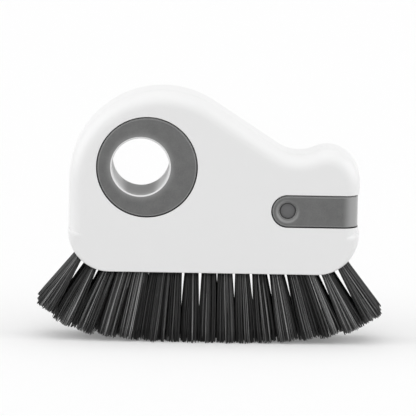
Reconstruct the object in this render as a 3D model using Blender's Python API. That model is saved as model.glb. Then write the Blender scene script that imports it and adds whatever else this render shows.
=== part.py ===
"""Window groove cleaning brush.

A flat white body in two shells, with a grey finger ring, a grey band round its right-hand end, a sprung
button in each side of that band, and a fan of black bristles below.

The frame: X runs to the right as the brush is seen from the front, Y runs from the front to the back and
Z is up. The origin is on the floor, under the middle of the body, and the bristle tips stand on the floor.
"""

import math

import bmesh
import bpy
from mathutils import Vector

MM = 0.001

# Clearances and walls
GAP = 0.3 * MM  # between pieces that touch
INLAY_GAP = 0.35 * MM  # round the edge of the grey pieces that lie in the white body
WALL = 2.2 * MM
INLAY_WALL = 1.6 * MM  # what is left of the shells behind a grey piece, and round each bore

# Body, seen from the side
BODY_X = 1.75 * MM  # the middle of the body's foot; the middle of the fan of bristles is at 0
BODY_THICKNESS = 26.6 * MM
PARTING_Y = -6.75 * MM  # the joint between the two shells
EDGE_RADIUS = 6.5 * MM  # the soft edge of the body above its foot
FOOT_HALF_LENGTH = 61.15 * MM  # of the wider lower part of the body
LEFT_LEDGE = 0.2 * MM  # how far the foot stands out past the body above it
RIGHT_LEDGE = 0.0 * MM  # at its shoulder; lower down, the body's end leans in
DOME_RADIUS = 39.1 * MM
DOME_X = BODY_X - FOOT_HALF_LENGTH + LEFT_LEDGE + DOME_RADIUS
DOME_Z = 67.6 * MM
SLOPE_ANGLE = 33.0  # degrees, the back of the hand rest, down to the right
DIP_RADIUS = 16.0 * MM
NUB_TOP_Z = 82.95 * MM
NUB_RADIUS = 12.1 * MM
SHOULDER_X = BODY_X + FOOT_HALF_LENGTH - RIGHT_LEDGE
SHOULDER_RADIUS = 15.4 * MM
SHOULDER_JOIN = 62.8  # degrees up from +X, where the shoulder runs into the nub
END_LEAN = 1.65  # degrees, the right-hand end leans in towards its foot

# Foot
LEDGE_Z = 46.5 * MM
FOOT_BOTTOM_Z = 30.05 * MM
FOOT_CORNER_RADIUS = 17.5 * MM
FOOT_EDGE_RADIUS = 1.8 * MM  # at the ledge
FOOT_BOTTOM_EDGE = 0.25  # the foot's edge shrinks to this share of its radius along the bottom

# Grey ring
RING_X, RING_Z = DOME_X - 6.5 * MM, DOME_Z + 7.15 * MM
RING_RADIUS = 20.85 * MM
BORE_X, BORE_Z = RING_X - 2.7 * MM, RING_Z + 0.25 * MM
BORE_RADIUS = 12.0 * MM
BORE_EDGE_RADIUS = 0.6 * MM
SLEEVE_WALL = 2.5 * MM
INLAY_THICKNESS = 2.2 * MM  # of the ring's flanges and of the band
INLAY_EDGE = 0.3 * MM

# Grey band
BAND_LENGTH = 30.15 * MM  # from the body's right-hand end to the centre of the band's round tip
BAND_X, BAND_Z = SHOULDER_X - BAND_LENGTH, 57.0 * MM  # that centre, which is the buttons' axis
BAND_WIDTH = 12.9 * MM
BAND_SINK = 0.4 * MM  # how far its end lies below the body's right-hand end

# Buttons and their spring
DIMPLE_RADIUS = 5.0 * MM
DIMPLE_DEPTH = 1.1 * MM
BUTTON_RADIUS = 3.3 * MM
BUTTON_DOME = 0.5 * MM
BUTTON_FLANGE_RADIUS = 4.5 * MM
BUTTON_FLANGE_THICKNESS = 1.2 * MM
BUTTON_STEM_RADIUS = 2.2 * MM
BUTTON_STEM_LENGTH = 3.0 * MM
SPRING_CLEARANCE = 0.6 * MM  # between the spring and the stems inside it
SPRING_WIRE_RADIUS = 0.35 * MM
SPRING_TURNS = 7
SPRING_END_TURNS = 1  # closed turns at each end

# Screws and locating pins
SCREW_SHANK_RADIUS = 1.2 * MM
SCREW_HEAD_RADIUS = 2.6 * MM
SCREW_HEAD_HEIGHT = 1.6 * MM
SCREW_HEAD_CHAMFER = 0.65 * MM
SCREW_LENGTH = 14.0 * MM
SCREW_POINT_LENGTH = 1.8 * MM
SCREW_POINT_RADIUS = 0.35 * MM
SCREW_SLOT_WIDTH = 0.7 * MM
SCREW_SLOT_LENGTH = 3.0 * MM
SCREW_SLOT_DEPTH = 0.9 * MM
SCREW_SEAT_DEPTH = 2.0 * MM  # of the counterbore, below the floor of the grey piece's recess
BOSS_WALL = 1.7 * MM
RING_SCREW_ANGLE = 42.0  # degrees up and down from the ring's right-hand side
RING_SCREW_INSET = 3.8 * MM  # from the ring's edge
BAND_SCREW_REACH = 15.0 * MM  # from the buttons' axis, to the right
PIN_RADIUS = 1.8 * MM
PIN_LENGTH = 6.0 * MM  # past the joint between the shells
LEFT_PIN_INSET = 8.2 * MM  # from the body's left-hand end
LEFT_PIN_RISE = 8.5 * MM  # above the ledge
DOME_PIN_ANGLE = 35.0  # degrees up from +X, round the dome's centre
DOME_PIN_INSET = 10.6 * MM  # from the dome
LOW_PIN_X = BODY_X - 4.0 * MM
LOW_PIN_RISE = 2.5 * MM  # above the ledge

# Bristle block
BLOCK_DEPTH = 9.0 * MM
BLOCK_END_ANGLE = 62.0  # degrees round the foot's corners, from straight down
RAIL_DEPTH = 1.4 * MM
RAIL_HEIGHT = 2.0 * MM
RAIL_RISE = 5.2 * MM  # above the foot's bottom
RAIL_END = 4.0 * MM  # how far each rail stops short of the foot's corners

# Bristles
COLUMNS = 17
FAN_END_ANGLE = 41.65  # degrees round the foot's corners, where the fan ends
COLUMN_LEAN = 33.5  # degrees from straight down, at the last column
COLUMN_LEAN_POWER = 1.6
FLOOR_CUT = 0.5 * MM  # how much the middle column's bristles are cut back, flat on the floor
BRISTLE_LENGTH = FOOT_BOTTOM_Z + FLOOR_CUT  # at the middle column, before that cut
END_SHORTENING = 0.13  # the last column is shorter by this share
TUFTS_DEEP = 3
TUFT_MARGIN = 1.2 * MM  # between the outer tufts and the ends of their slice
TUFT_STRANDS = 8  # one in the middle and the others round it
TUFT_EDGE = 0.05 * MM  # between a tuft and the side of its slice
TIP_CLEARANCE = 0.13 * MM  # from a tuft's tips in the middle of the fan halfway to the next tuft
ROW_FLARE = 1.3  # growth of the spacing from front to back
STRAND_SIDES = 3
STRAND_RADIUS = 0.7 * MM
STRAND_ROOT = 0.8 * MM  # how deep a strand goes into its slice of backing
STRAND_RAGGED = 0.7 * MM  # how much shorter the shortest strand of a tuft is
SLICE_DEPTH = 1.6 * MM
SLOT_RIB = 0.42 * MM  # the backing left between two slots, where they come closest

# Fineness of the round shapes
ROUND_STEP = 9.0  # degrees between the points of an arc
DOME_STEP = 6.5  # the same, on the large arc of the hand rest
BAND_STEP = 15.0  # the same, where the band turns round the body's end
CORNER_STEPS = 8  # along each corner of the foot
EDGE_STEPS = 5  # across the body's soft edge
SMALL_EDGE_STEPS = 3  # across the bore's edges, and the soft edge inside the shells
RING_SIDES = 48
SLEEVE_SIDES = 40
WALL_SIDES = 32
ROUND_SIDES = 24
SMALL_SIDES = 16
DOME_STEPS = 4  # across a button's domed nose
SPRING_SIDES = 10  # points in one turn of the spring
SHARP_ANGLE = 35.0  # degrees, the least angle at an edge that stays sharp

BODY_HALF = BODY_THICKNESS / 2
FRONT_EDGE_Y = PARTING_Y - GAP / 2
REAR_EDGE_Y = PARTING_Y + GAP / 2
INLAY_FLOOR = INLAY_THICKNESS + GAP  # depth of the recesses below the faces
SLEEVE_RADIUS = BORE_RADIUS + SLEEVE_WALL
BUTTON_HOLE_RADIUS = BUTTON_RADIUS + GAP
GUIDE_RADIUS = BUTTON_FLANGE_RADIUS + GAP
GUIDE_START = INLAY_FLOOR + INLAY_WALL  # depth below the face at which the buttons' guide begins
BUTTON_FLANGE_BACK = GUIDE_START + GAP + BUTTON_FLANGE_THICKNESS  # depth at which the spring's room begins
SCREW_SEAT = INLAY_FLOOR + SCREW_SEAT_DEPTH  # depth of the seats below the front face
BLOCK_HALF_WIDTH = BODY_HALF - WALL - GAP
FLAT_HALF_LENGTH = FOOT_HALF_LENGTH - FOOT_CORNER_RADIUS  # of the foot's flat bottom
LAST_COLUMN = (COLUMNS - 1) / 2  # counted from the middle one
COLUMN_PITCH = (FLAT_HALF_LENGTH + FOOT_CORNER_RADIUS * math.radians(FAN_END_ANGLE)) / LAST_COLUMN
MIDDLE_SPREAD = BRISTLE_LENGTH * math.sin(math.radians(COLUMN_LEAN / LAST_COLUMN**COLUMN_LEAN_POWER))
SLOT_FLOOR_PITCH = COLUMN_PITCH * (1 - (SLICE_DEPTH + GAP) / FOOT_CORNER_RADIUS)
SLICE_WIDTH = SLOT_FLOOR_PITCH - SLOT_RIB - 2 * GAP
TUFT_RADIUS = SLICE_WIDTH / 2 - TUFT_EDGE
TUFT_ROOT_RADIUS = TUFT_RADIUS - STRAND_RADIUS  # from a tuft's axis to the axes of its outer strands
TUFT_PITCH = 2 * (BLOCK_HALF_WIDTH - TUFT_MARGIN - TUFT_RADIUS) / (TUFTS_DEEP - 1)
TUFT_FLARE = ((COLUMN_PITCH + MIDDLE_SPREAD) / 2 - TIP_CLEARANCE) / TUFT_RADIUS  # growth from root to tip
INTO_WALL = WALL / 2  # how far a wall or rib runs into the shell that carries it, and a cutter out of it


def polar(angle):
    """The unit vector (x, z) at an angle in degrees, from +X towards +Z."""
    return math.cos(math.radians(angle)), math.sin(math.radians(angle))


def arc(x, z, radius, start, end, step=ROUND_STEP):
    """Points (x, z) of an arc, with both its ends."""
    count = max(1, math.ceil(abs(end - start) / step - 0.01))
    return [
        (x + radius * polar(start + (end - start) * i / count)[0],
         z + radius * polar(start + (end - start) * i / count)[1])
        for i in range(count + 1)
    ]


# The body's top, from the hand rest down its slope through the dip, over the nub and round the shoulder
def nub_place():
    """The centre (x, z) of the nub, the raised right-hand corner of the top."""
    spread = SHOULDER_RADIUS - NUB_RADIUS
    return SHOULDER_X - SHOULDER_RADIUS + spread * polar(SHOULDER_JOIN)[0], NUB_TOP_Z - NUB_RADIUS


def shoulder_place():
    """The shoulder's centre (x, z)."""
    spread = SHOULDER_RADIUS - NUB_RADIUS
    return SHOULDER_X - SHOULDER_RADIUS, NUB_TOP_Z - NUB_RADIUS - spread * polar(SHOULDER_JOIN)[1]


def dip_place():
    """The centre (x, z) of the dip, which touches the slope and the nub, and the angle at the nub."""
    nub_x, nub_z = nub_place()
    slope_x, slope_z = polar(90 - SLOPE_ANGLE)
    slope = slope_x * DOME_X + slope_z * DOME_Z + DOME_RADIUS
    rise = slope + DIP_RADIUS - (slope_x * nub_x + slope_z * nub_z)
    run = math.sqrt((DIP_RADIUS + NUB_RADIUS) ** 2 - rise**2)
    x = nub_x + rise * slope_x - run * slope_z
    z = nub_z + rise * slope_z + run * slope_x
    return x, z, math.degrees(math.atan2(z - nub_z, nub_x - x))


def end_x(z, inset=0.0):
    """The X of the body's right-hand end below its shoulder, at a height z."""
    x, shoulder_z = shoulder_place()
    cosine, sine = polar(-END_LEAN)
    radius = SHOULDER_RADIUS - inset
    return x + radius * cosine - (shoulder_z + radius * sine - z) * math.tan(math.radians(END_LEAN))


def body_outline(inset=0.0, foot_inset=0.0, ledge_drop=0.0, bottom_share=FOOT_BOTTOM_EDGE):
    """The body's outline (x, z), drawn in by inset above the ledge and by foot_inset below it.

    It starts at the left end of the flat bottom and goes round through the right-hand end. Every call gives
    the same number of points, so that outlines of unlike inset can be joined face by face.
    """
    ledge = LEDGE_Z - ledge_drop
    corner_z = FOOT_BOTTOM_Z + FOOT_CORNER_RADIUS
    corner = []
    for i in range(CORNER_STEPS + 1):
        share = i / CORNER_STEPS
        radius = FOOT_CORNER_RADIUS - foot_inset * (bottom_share + (1 - bottom_share) * share)
        top_angle = math.degrees(math.asin((ledge - corner_z) / radius))
        x, z = polar(-90 + (90 + top_angle) * share)
        corner.append((radius * x, radius * z))
    foot_right = [(BODY_X + FLAT_HALF_LENGTH + x, corner_z + z) for x, z in corner]
    foot_left = [(BODY_X - FLAT_HALF_LENGTH - x, corner_z + z) for x, z in reversed(corner)]

    dip_x, dip_z, nub_join = dip_place()
    shoulder = arc(*shoulder_place(), SHOULDER_RADIUS - inset, -END_LEAN, SHOULDER_JOIN)
    nub = arc(*nub_place(), NUB_RADIUS - inset, SHOULDER_JOIN, 180 - nub_join)
    dip = arc(dip_x, dip_z, DIP_RADIUS + inset, -nub_join, -90 - SLOPE_ANGLE)
    dome = arc(DOME_X, DOME_Z, DOME_RADIUS - inset, 90 - SLOPE_ANGLE, 180, DOME_STEP)
    left_x = DOME_X - DOME_RADIUS + inset
    upper = [(end_x(ledge, inset), ledge)] + shoulder + nub[1:] + dip[1:] + dome + [(left_x, ledge)]
    return foot_right + upper + foot_left


def edge_inset(depth, radius):
    """How far a quarter-round edge draws the outline in, at a depth below the face."""
    if depth >= radius:
        return 0.0
    return radius - math.sqrt(radius * radius - (radius - depth) ** 2)


def edge_depths(radius, steps):
    """Depths below the face at which a quarter-round edge gets a ring of points, the deepest first."""
    return [radius * (1 - math.sin(math.radians(90 * i / steps))) for i in range(steps + 1)]


def tidy(mesh):
    """Smooth round surfaces, with sharp edges kept."""
    mesh.shade_smooth()
    mesh.set_sharp_from_angle(angle=math.radians(SHARP_ANGLE))


def new_object(name, work):
    """An object from a bmesh, with its faces turned outwards."""
    bmesh.ops.recalc_face_normals(work, faces=work.faces)
    mesh = bpy.data.meshes.new(name)
    work.to_mesh(mesh)
    work.free()
    tidy(mesh)
    obj = bpy.data.objects.new(name, mesh)
    bpy.context.scene.collection.objects.link(obj)
    return obj


def loft(name, rings, closed=False):
    """A solid through rings of equally many points: capped at both ends, or closed on itself."""
    work = bmesh.new()
    loops = [[work.verts.new(point) for point in ring] for ring in rings]
    count = len(loops[0])
    pairs = list(zip(loops, loops[1:]))
    if closed:
        pairs.append((loops[-1], loops[0]))
    for first, second in pairs:
        for i in range(count):
            j = (i + 1) % count
            work.faces.new((first[i], first[j], second[j], second[i]))
    if not closed:
        work.faces.new(loops[0])
        work.faces.new(loops[-1])
    return new_object(name, work)


def across(outline, y):
    """An outline (x, z) placed at a depth y."""
    return [(x, y, z) for x, z in outline]


def prism(name, outline, y_start, y_end):
    """An outline (x, z) drawn out along Y."""
    return loft(name, [across(outline, y_start), across(outline, y_end)])


def upright(name, outline, z_start, z_end):
    """An outline (x, y) drawn out along Z."""
    return loft(name, [[(x, y, z) for x, y in outline] for z in (z_start, z_end)])


def circle(x, z, radius, y, sides):
    """Points of a circle about an axis along Y."""
    points = [polar(360 * i / sides) for i in range(sides)]
    return [(x + radius * px, y, z + radius * pz) for px, pz in points]


def turned(name, x, z, profile, sides):
    """A solid turned about an axis along Y, from a profile of (radius, y)."""
    return loft(name, [circle(x, z, radius, y, sides) for radius, y in profile])


def rod(name, x, z, radius, y_start, y_end, sides=ROUND_SIDES):
    return turned(name, x, z, [(radius, y_start), (radius, y_end)], sides)


def combine(target, tool, operation):
    """Applies a Boolean of target with tool, and removes tool."""
    modifier = target.modifiers.new(operation.lower(), "BOOLEAN")
    modifier.operation = operation
    modifier.solver = "EXACT"
    modifier.use_self = True
    modifier.object = tool
    bpy.context.view_layer.update()
    evaluated = target.evaluated_get(bpy.context.evaluated_depsgraph_get())
    mesh = bpy.data.meshes.new_from_object(evaluated)
    target.modifiers.clear()
    spent = [target.data, tool.data]
    target.data = mesh
    bpy.data.objects.remove(tool)
    for old in spent:
        bpy.data.meshes.remove(old)
    tidy(mesh)


def cut(target, *tools):
    for tool in tools:
        combine(target, tool, "DIFFERENCE")


def join(target, *tools):
    for tool in tools:
        combine(target, tool, "UNION")


def material(name, colour, roughness, metallic=0.0):
    made = bpy.data.materials.new(name)
    made.use_nodes = True
    shader = made.node_tree.nodes["Principled BSDF"]
    shader.inputs["Base Color"].default_value = (*colour, 1.0)
    shader.inputs["Roughness"].default_value = roughness
    shader.inputs["Metallic"].default_value = metallic
    return made


def finish(obj, made, origin=(0.0, 0.0, 0.0)):
    """Gives an object its material, and its origin, as on its joint's axis."""
    obj.data.materials.clear()
    obj.data.materials.append(made)
    for vertex in obj.data.vertices:
        vertex.co -= Vector(origin)
    obj.location = origin
    return obj


# The two sides. A side is -1 at the front and 1 at the back, and a depth is measured from that face.
def at_depth(side, depth):
    return side * (BODY_HALF - depth)


def screw_places():
    """Where the screws stand (x, z): two beside the finger bore and one under the band."""
    places = []
    reach = RING_RADIUS - RING_SCREW_INSET
    for angle in (RING_SCREW_ANGLE, -RING_SCREW_ANGLE):
        x, z = polar(angle)
        places.append((RING_X + reach * x, RING_Z + reach * z))
    places.append((BAND_X + BAND_SCREW_REACH, BAND_Z))
    return places


def pin_places():
    """Where the locating pins stand (x, z): at the left, under the dome, in the nub and low in the middle."""
    dome_x, dome_z = polar(DOME_PIN_ANGLE)
    dome_reach = DOME_RADIUS - DOME_PIN_INSET
    return [
        (DOME_X - DOME_RADIUS + LEFT_PIN_INSET, LEDGE_Z + LEFT_PIN_RISE),
        (DOME_X + dome_reach * dome_x, DOME_Z + dome_reach * dome_z),
        nub_place(),
        (LOW_PIN_X, LEDGE_Z + LOW_PIN_RISE),
    ]


# Outlines that the band, its recess and the wall behind it share
def band_contour(inset):
    """The band's run (x, y) round the right-hand end, from the front tip to the back tip."""
    tip_x = BAND_X - BAND_WIDTH
    centre_x = end_x(BAND_Z) - BAND_SINK - EDGE_RADIUS
    centre_y = BODY_HALF - EDGE_RADIUS
    front = arc(centre_x, -centre_y, EDGE_RADIUS - inset, -90, 0, BAND_STEP)
    back = arc(centre_x, centre_y, EDGE_RADIUS - inset, 0, 90, BAND_STEP)
    return [(tip_x, -BODY_HALF + inset)] + front + back + [(tip_x, BODY_HALF - inset)]


def band_solid(name, outer_inset, inner_inset, half_width):
    """A U round the right-hand end, with round tips about the buttons' axis."""
    section = band_contour(outer_inset) + band_contour(inner_inset)[::-1]
    solid = upright(name, section, BAND_Z - BAND_WIDTH, BAND_Z + BAND_WIDTH)
    tip = arc(BAND_X, BAND_Z, half_width, 90, 270)
    far_x = SHOULDER_X + BAND_WIDTH
    stadium = tip + [(far_x, BAND_Z - half_width), (far_x, BAND_Z + half_width)]
    combine(solid, prism("band_stadium", stadium, -BODY_THICKNESS, BODY_THICKNESS), "INTERSECT")
    return solid


def block_outline(grow=0.0, outside=0.0):
    """The bristle block (x, z): the foot's bottom and corners, BLOCK_DEPTH thick, grown by a clearance."""
    corner_z = FOOT_BOTTOM_Z + FOOT_CORNER_RADIUS
    middle_radius = FOOT_CORNER_RADIUS - BLOCK_DEPTH / 2
    end = BLOCK_END_ANGLE + math.degrees(grow / middle_radius)
    outer = FOOT_CORNER_RADIUS + outside
    inner = FOOT_CORNER_RADIUS - BLOCK_DEPTH - grow
    left_x, right_x = BODY_X - FLAT_HALF_LENGTH, BODY_X + FLAT_HALF_LENGTH
    points = arc(left_x, corner_z, outer, -90 - end, -90)
    points += arc(right_x, corner_z, outer, -90, -90 + end)
    points += arc(right_x, corner_z, inner, -90 + end, -90)
    points += arc(left_x, corner_z, inner, -90, -90 - end)
    return points


def rail(name, side, grow=0.0):
    """The rib inside each shell that locks the block, or, grown by a clearance, its groove in the block."""
    wall_y = BODY_HALF - WALL
    y_inner = side * (wall_y - RAIL_DEPTH - grow)
    y_outer = side * (wall_y + INTO_WALL)
    half_length = FLAT_HALF_LENGTH - RAIL_END + grow
    left, right = BODY_X - half_length, BODY_X + half_length
    low = FOOT_BOTTOM_Z + RAIL_RISE - grow
    high = FOOT_BOTTOM_Z + RAIL_RISE + RAIL_HEIGHT + grow
    return prism(name, [(left, low), (right, low), (right, high), (left, high)], y_inner, y_outer)


def shell_block(side):
    """The solid form of one shell, before it is hollowed."""
    depths = edge_depths(EDGE_RADIUS, EDGE_STEPS)
    if side < 0:
        edge_y = FRONT_EDGE_Y
        depths = [BODY_HALF + edge_y] + [depth for depth in depths if depth < BODY_HALF + edge_y]
        ys = [-BODY_HALF + depth for depth in depths]
    else:
        depths = [BODY_HALF - REAR_EDGE_Y] + depths
        ys = [BODY_HALF - depth for depth in depths]
    rings = []
    for depth, y in zip(depths, ys):
        upper = edge_inset(depth, EDGE_RADIUS)
        rings.append(across(body_outline(upper, edge_inset(depth, FOOT_EDGE_RADIUS)), y))
    return loft("front_shell" if side < 0 else "rear_shell", rings)


def shell_hollow(side):
    """The hollow of one shell, with the bosses, walls and rails left standing in it."""
    radius = EDGE_RADIUS - WALL
    rings = [across(body_outline(WALL, WALL, WALL, 1.0), PARTING_Y - side * WALL)]
    for depth in edge_depths(radius, SMALL_EDGE_STEPS):
        outline = body_outline(WALL + edge_inset(depth, radius), WALL, WALL, 1.0)
        rings.append(across(outline, at_depth(side, WALL + depth)))
    hollow = loft("hollow", rings)
    beyond = -side * BODY_HALF
    face = side * BODY_THICKNESS
    ring_reach = RING_RADIUS + INLAY_GAP + INLAY_WALL
    ring_floor = at_depth(side, INLAY_FLOOR + INLAY_WALL)
    half_width = BAND_WIDTH / 2 + INLAY_GAP + INLAY_WALL
    cut(
        hollow,
        rod("ring_wall", RING_X, RING_Z, ring_reach, ring_floor, face, WALL_SIDES),
        rod("sleeve_wall", BORE_X, BORE_Z, SLEEVE_RADIUS + GAP + INLAY_WALL, beyond, face, WALL_SIDES),
        band_solid("band_wall", INTO_WALL, INLAY_FLOOR + INLAY_WALL, half_width),
        rod("guide_wall", BAND_X, BAND_Z, GUIDE_RADIUS + INLAY_WALL, beyond, face),
        rail("rail", side),
    )
    boss_radius = (SCREW_HEAD_RADIUS if side < 0 else SCREW_SHANK_RADIUS) + GAP + BOSS_WALL
    for x, z in screw_places():
        cut(hollow, rod("screw_boss", x, z, boss_radius, beyond, face, SMALL_SIDES))
    for x, z in pin_places():
        cut(hollow, rod("pin_boss", x, z, PIN_RADIUS + GAP + BOSS_WALL, beyond, face, SMALL_SIDES))
    return hollow


def shell(side, made):
    """One half of the body: hollowed, then cut for what lies in it or passes through it."""
    solid = shell_block(side)
    cut(solid, shell_hollow(side))
    beyond = -side * BODY_HALF
    face = side * BODY_THICKNESS
    recess_floor = at_depth(side, INLAY_FLOOR)
    cut(
        solid,
        rod("ring_recess", RING_X, RING_Z, RING_RADIUS + INLAY_GAP, recess_floor, face, RING_SIDES),
        rod("sleeve_hole", BORE_X, BORE_Z, SLEEVE_RADIUS + GAP, beyond, face, SLEEVE_SIDES),
        band_solid("band_recess", -INTO_WALL, INLAY_FLOOR, BAND_WIDTH / 2 + INLAY_GAP),
        rod("button_hole", BAND_X, BAND_Z, BUTTON_HOLE_RADIUS, beyond, face),
        rod("guide_bore", BAND_X, BAND_Z, GUIDE_RADIUS, beyond, at_depth(side, GUIDE_START)),
    )
    window = prism("window", block_outline(GAP, WALL), PARTING_Y - side * WALL, side * (BODY_HALF - WALL))
    cut(window, rail("window_rail", side))
    cut(solid, window)
    for x, z in screw_places():
        seat = at_depth(-1, SCREW_SEAT)
        if side < 0:
            cut(
                solid,
                rod("screw_hole", x, z, SCREW_SHANK_RADIUS + GAP, beyond, face, SMALL_SIDES),
                rod("screw_seat", x, z, SCREW_HEAD_RADIUS + GAP, seat, face),
            )
        else:
            hole_end = seat + SCREW_LENGTH
            cut(solid, rod("screw_pilot", x, z, SCREW_SHANK_RADIUS + GAP, beyond, hole_end, SMALL_SIDES))
    for x, z in pin_places():
        pin_end = PARTING_Y + PIN_LENGTH
        if side < 0:
            join(solid, rod("pin", x, z, PIN_RADIUS, FRONT_EDGE_Y - GAP, pin_end, SMALL_SIDES))
        else:
            cut(solid, rod("pin_socket", x, z, PIN_RADIUS + GAP, beyond, pin_end + GAP, SMALL_SIDES))
    return finish(solid, made)


def ring_grip(made):
    """The finger ring: two flanges joined by a sleeve, whose bore lies off the flanges' centre."""
    face, step = BODY_HALF, INLAY_EDGE
    flange_back = BODY_HALF - INLAY_THICKNESS
    profile = [
        (RING_X, RING_Z, RING_RADIUS - step, -face),
        (RING_X, RING_Z, RING_RADIUS, -face + step),
        (RING_X, RING_Z, RING_RADIUS, -flange_back),
        (BORE_X, BORE_Z, SLEEVE_RADIUS, -flange_back),
        (BORE_X, BORE_Z, SLEEVE_RADIUS, flange_back),
        (RING_X, RING_Z, RING_RADIUS, flange_back),
        (RING_X, RING_Z, RING_RADIUS, face - step),
        (RING_X, RING_Z, RING_RADIUS - step, face),
    ]
    edge = edge_depths(BORE_EDGE_RADIUS, SMALL_EDGE_STEPS)
    bore = [(BORE_X, BORE_Z, BORE_RADIUS + edge_inset(depth, BORE_EDGE_RADIUS), depth) for depth in edge]
    profile += [(x, z, radius, face - depth) for x, z, radius, depth in reversed(bore)]
    profile += [(x, z, radius, depth - face) for x, z, radius, depth in bore]
    rings = [circle(x, z, radius, y, RING_SIDES) for x, z, radius, y in profile]
    return finish(loft("ring_grip", rings, closed=True), made)


def end_band(made):
    """The grey band, with a countersunk seat for a button in each arm."""
    band = band_solid("end_band", 0.0, INLAY_THICKNESS, BAND_WIDTH / 2)
    spread = (DIMPLE_RADIUS - BUTTON_HOLE_RADIUS) * GAP / DIMPLE_DEPTH
    profile = [
        (DIMPLE_RADIUS + spread, -GAP),
        (BUTTON_HOLE_RADIUS, DIMPLE_DEPTH),
        (BUTTON_HOLE_RADIUS, INLAY_THICKNESS + GAP),
    ]
    for side in (-1, 1):
        placed = [(radius, at_depth(side, depth)) for radius, depth in profile]
        cut(band, turned("button_seat", BAND_X, BAND_Z, placed, WALL_SIDES))
    return finish(band, made)


def button(name, side, made):
    """A round push button: domed nose, flange that keeps it in, and a stem inside the spring."""
    flange = GUIDE_START + GAP
    dome = []
    for i in range(DOME_STEPS):
        share = (i + 1) / DOME_STEPS
        dome.append((BUTTON_RADIUS * share, DIMPLE_DEPTH + BUTTON_DOME * share * share))
    profile = dome + [
        (BUTTON_RADIUS, flange),
        (BUTTON_FLANGE_RADIUS, flange),
        (BUTTON_FLANGE_RADIUS, BUTTON_FLANGE_BACK),
        (BUTTON_STEM_RADIUS, BUTTON_FLANGE_BACK),
        (BUTTON_STEM_RADIUS, BUTTON_FLANGE_BACK + BUTTON_STEM_LENGTH),
    ]
    placed = [(radius, at_depth(side, depth)) for radius, depth in profile]
    solid = turned(name, BAND_X, BAND_Z, placed, ROUND_SIDES)
    return finish(solid, made, (BAND_X, at_depth(side, DIMPLE_DEPTH), BAND_Z))


def button_spring(made):
    """The compression spring between the two buttons' flanges."""
    half = BODY_HALF - BUTTON_FLANGE_BACK - GAP - SPRING_WIRE_RADIUS
    radius = BUTTON_STEM_RADIUS + SPRING_CLEARANCE + SPRING_WIRE_RADIUS
    closed_pitch = 2 * SPRING_WIRE_RADIUS + GAP
    closed_length = 2 * SPRING_END_TURNS * closed_pitch
    open_pitch = (2 * half - closed_length) / (SPRING_TURNS - 2 * SPRING_END_TURNS)
    points = []
    y = -half
    for i in range(SPRING_TURNS * SPRING_SIDES + 1):
        x, z = polar(360 * i / SPRING_SIDES)
        points.append((BAND_X + radius * x, y, BAND_Z + radius * z))
        turn = i / SPRING_SIDES
        end_turn = turn < SPRING_END_TURNS or turn >= SPRING_TURNS - SPRING_END_TURNS
        y += (closed_pitch if end_turn else open_pitch) / SPRING_SIDES
    curve = bpy.data.curves.new("button_spring", "CURVE")
    curve.dimensions = "3D"
    curve.bevel_depth = SPRING_WIRE_RADIUS
    curve.bevel_resolution = 1
    curve.use_fill_caps = True
    line = curve.splines.new("POLY")
    line.points.add(len(points) - 1)
    for place, point in zip(line.points, points):
        place.co = (*point, 1.0)
    spring = bpy.data.objects.new("button_spring", curve)
    bpy.context.scene.collection.objects.link(spring)
    curve.materials.append(made)
    return spring


def shell_screw(name, x, z, made):
    """A pan-head screw with a cross recess, driven in from the front, under a grey piece."""
    seat = at_depth(-1, SCREW_SEAT) - GAP
    top = seat - SCREW_HEAD_HEIGHT
    tip = seat + SCREW_LENGTH
    profile = [
        (SCREW_HEAD_RADIUS - SCREW_HEAD_CHAMFER, top),
        (SCREW_HEAD_RADIUS, top + SCREW_HEAD_CHAMFER),
        (SCREW_HEAD_RADIUS, seat),
        (SCREW_SHANK_RADIUS, seat),
        (SCREW_SHANK_RADIUS, tip - SCREW_POINT_LENGTH),
        (SCREW_POINT_RADIUS, tip),
    ]
    screw = turned(name, x, z, profile, SMALL_SIDES)
    long, wide = SCREW_SLOT_LENGTH / 2, SCREW_SLOT_WIDTH / 2
    for half_x, half_z in ((long, wide), (wide, long)):
        low, high = (x - half_x, z - half_z), (x + half_x, z + half_z)
        corners = [low, (high[0], low[1]), high, (low[0], high[1])]
        cut(screw, prism("cross_recess", corners, top - GAP, top + SCREW_SLOT_DEPTH))
    return finish(screw, made)


def column_frame(index):
    """A column's root (x, z) on the foot's outline, the angles of its normal and its lean, and its length."""
    run = (index - LAST_COLUMN) * COLUMN_PITCH
    side = math.copysign(1.0, run)
    flat_end = BODY_X + side * FLAT_HALF_LENGTH
    round_the_corner = max(0.0, abs(run) - abs(flat_end))
    normal = side * math.degrees(round_the_corner / FOOT_CORNER_RADIUS)
    if round_the_corner:
        x, z = polar(-90 + normal)
        root = (flat_end + FOOT_CORNER_RADIUS * x, FOOT_BOTTOM_Z + FOOT_CORNER_RADIUS * (1 + z))
    else:
        root = (run, FOOT_BOTTOM_Z)
    share = abs(index - LAST_COLUMN) / LAST_COLUMN
    lean = side * COLUMN_LEAN * share**COLUMN_LEAN_POWER
    length = BRISTLE_LENGTH * (1 - END_SHORTENING * share * share)
    return root, normal, lean, length


def slot_outline(index, half_width, depth, outside):
    """A column's slice of backing, or its slot, as a cross-section (x, z) square to the foot's outline."""
    (root_x, root_z), normal, _lean, _length = column_frame(index)
    out_x, out_z = polar(-90 + normal)
    along_x, along_z = -out_z, out_x
    corners = ((-half_width, outside), (half_width, outside), (half_width, -depth), (-half_width, -depth))
    return [
        (root_x + along_x * a + out_x * b, root_z + along_z * a + out_z * b)
        for a, b in corners
    ]


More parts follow.
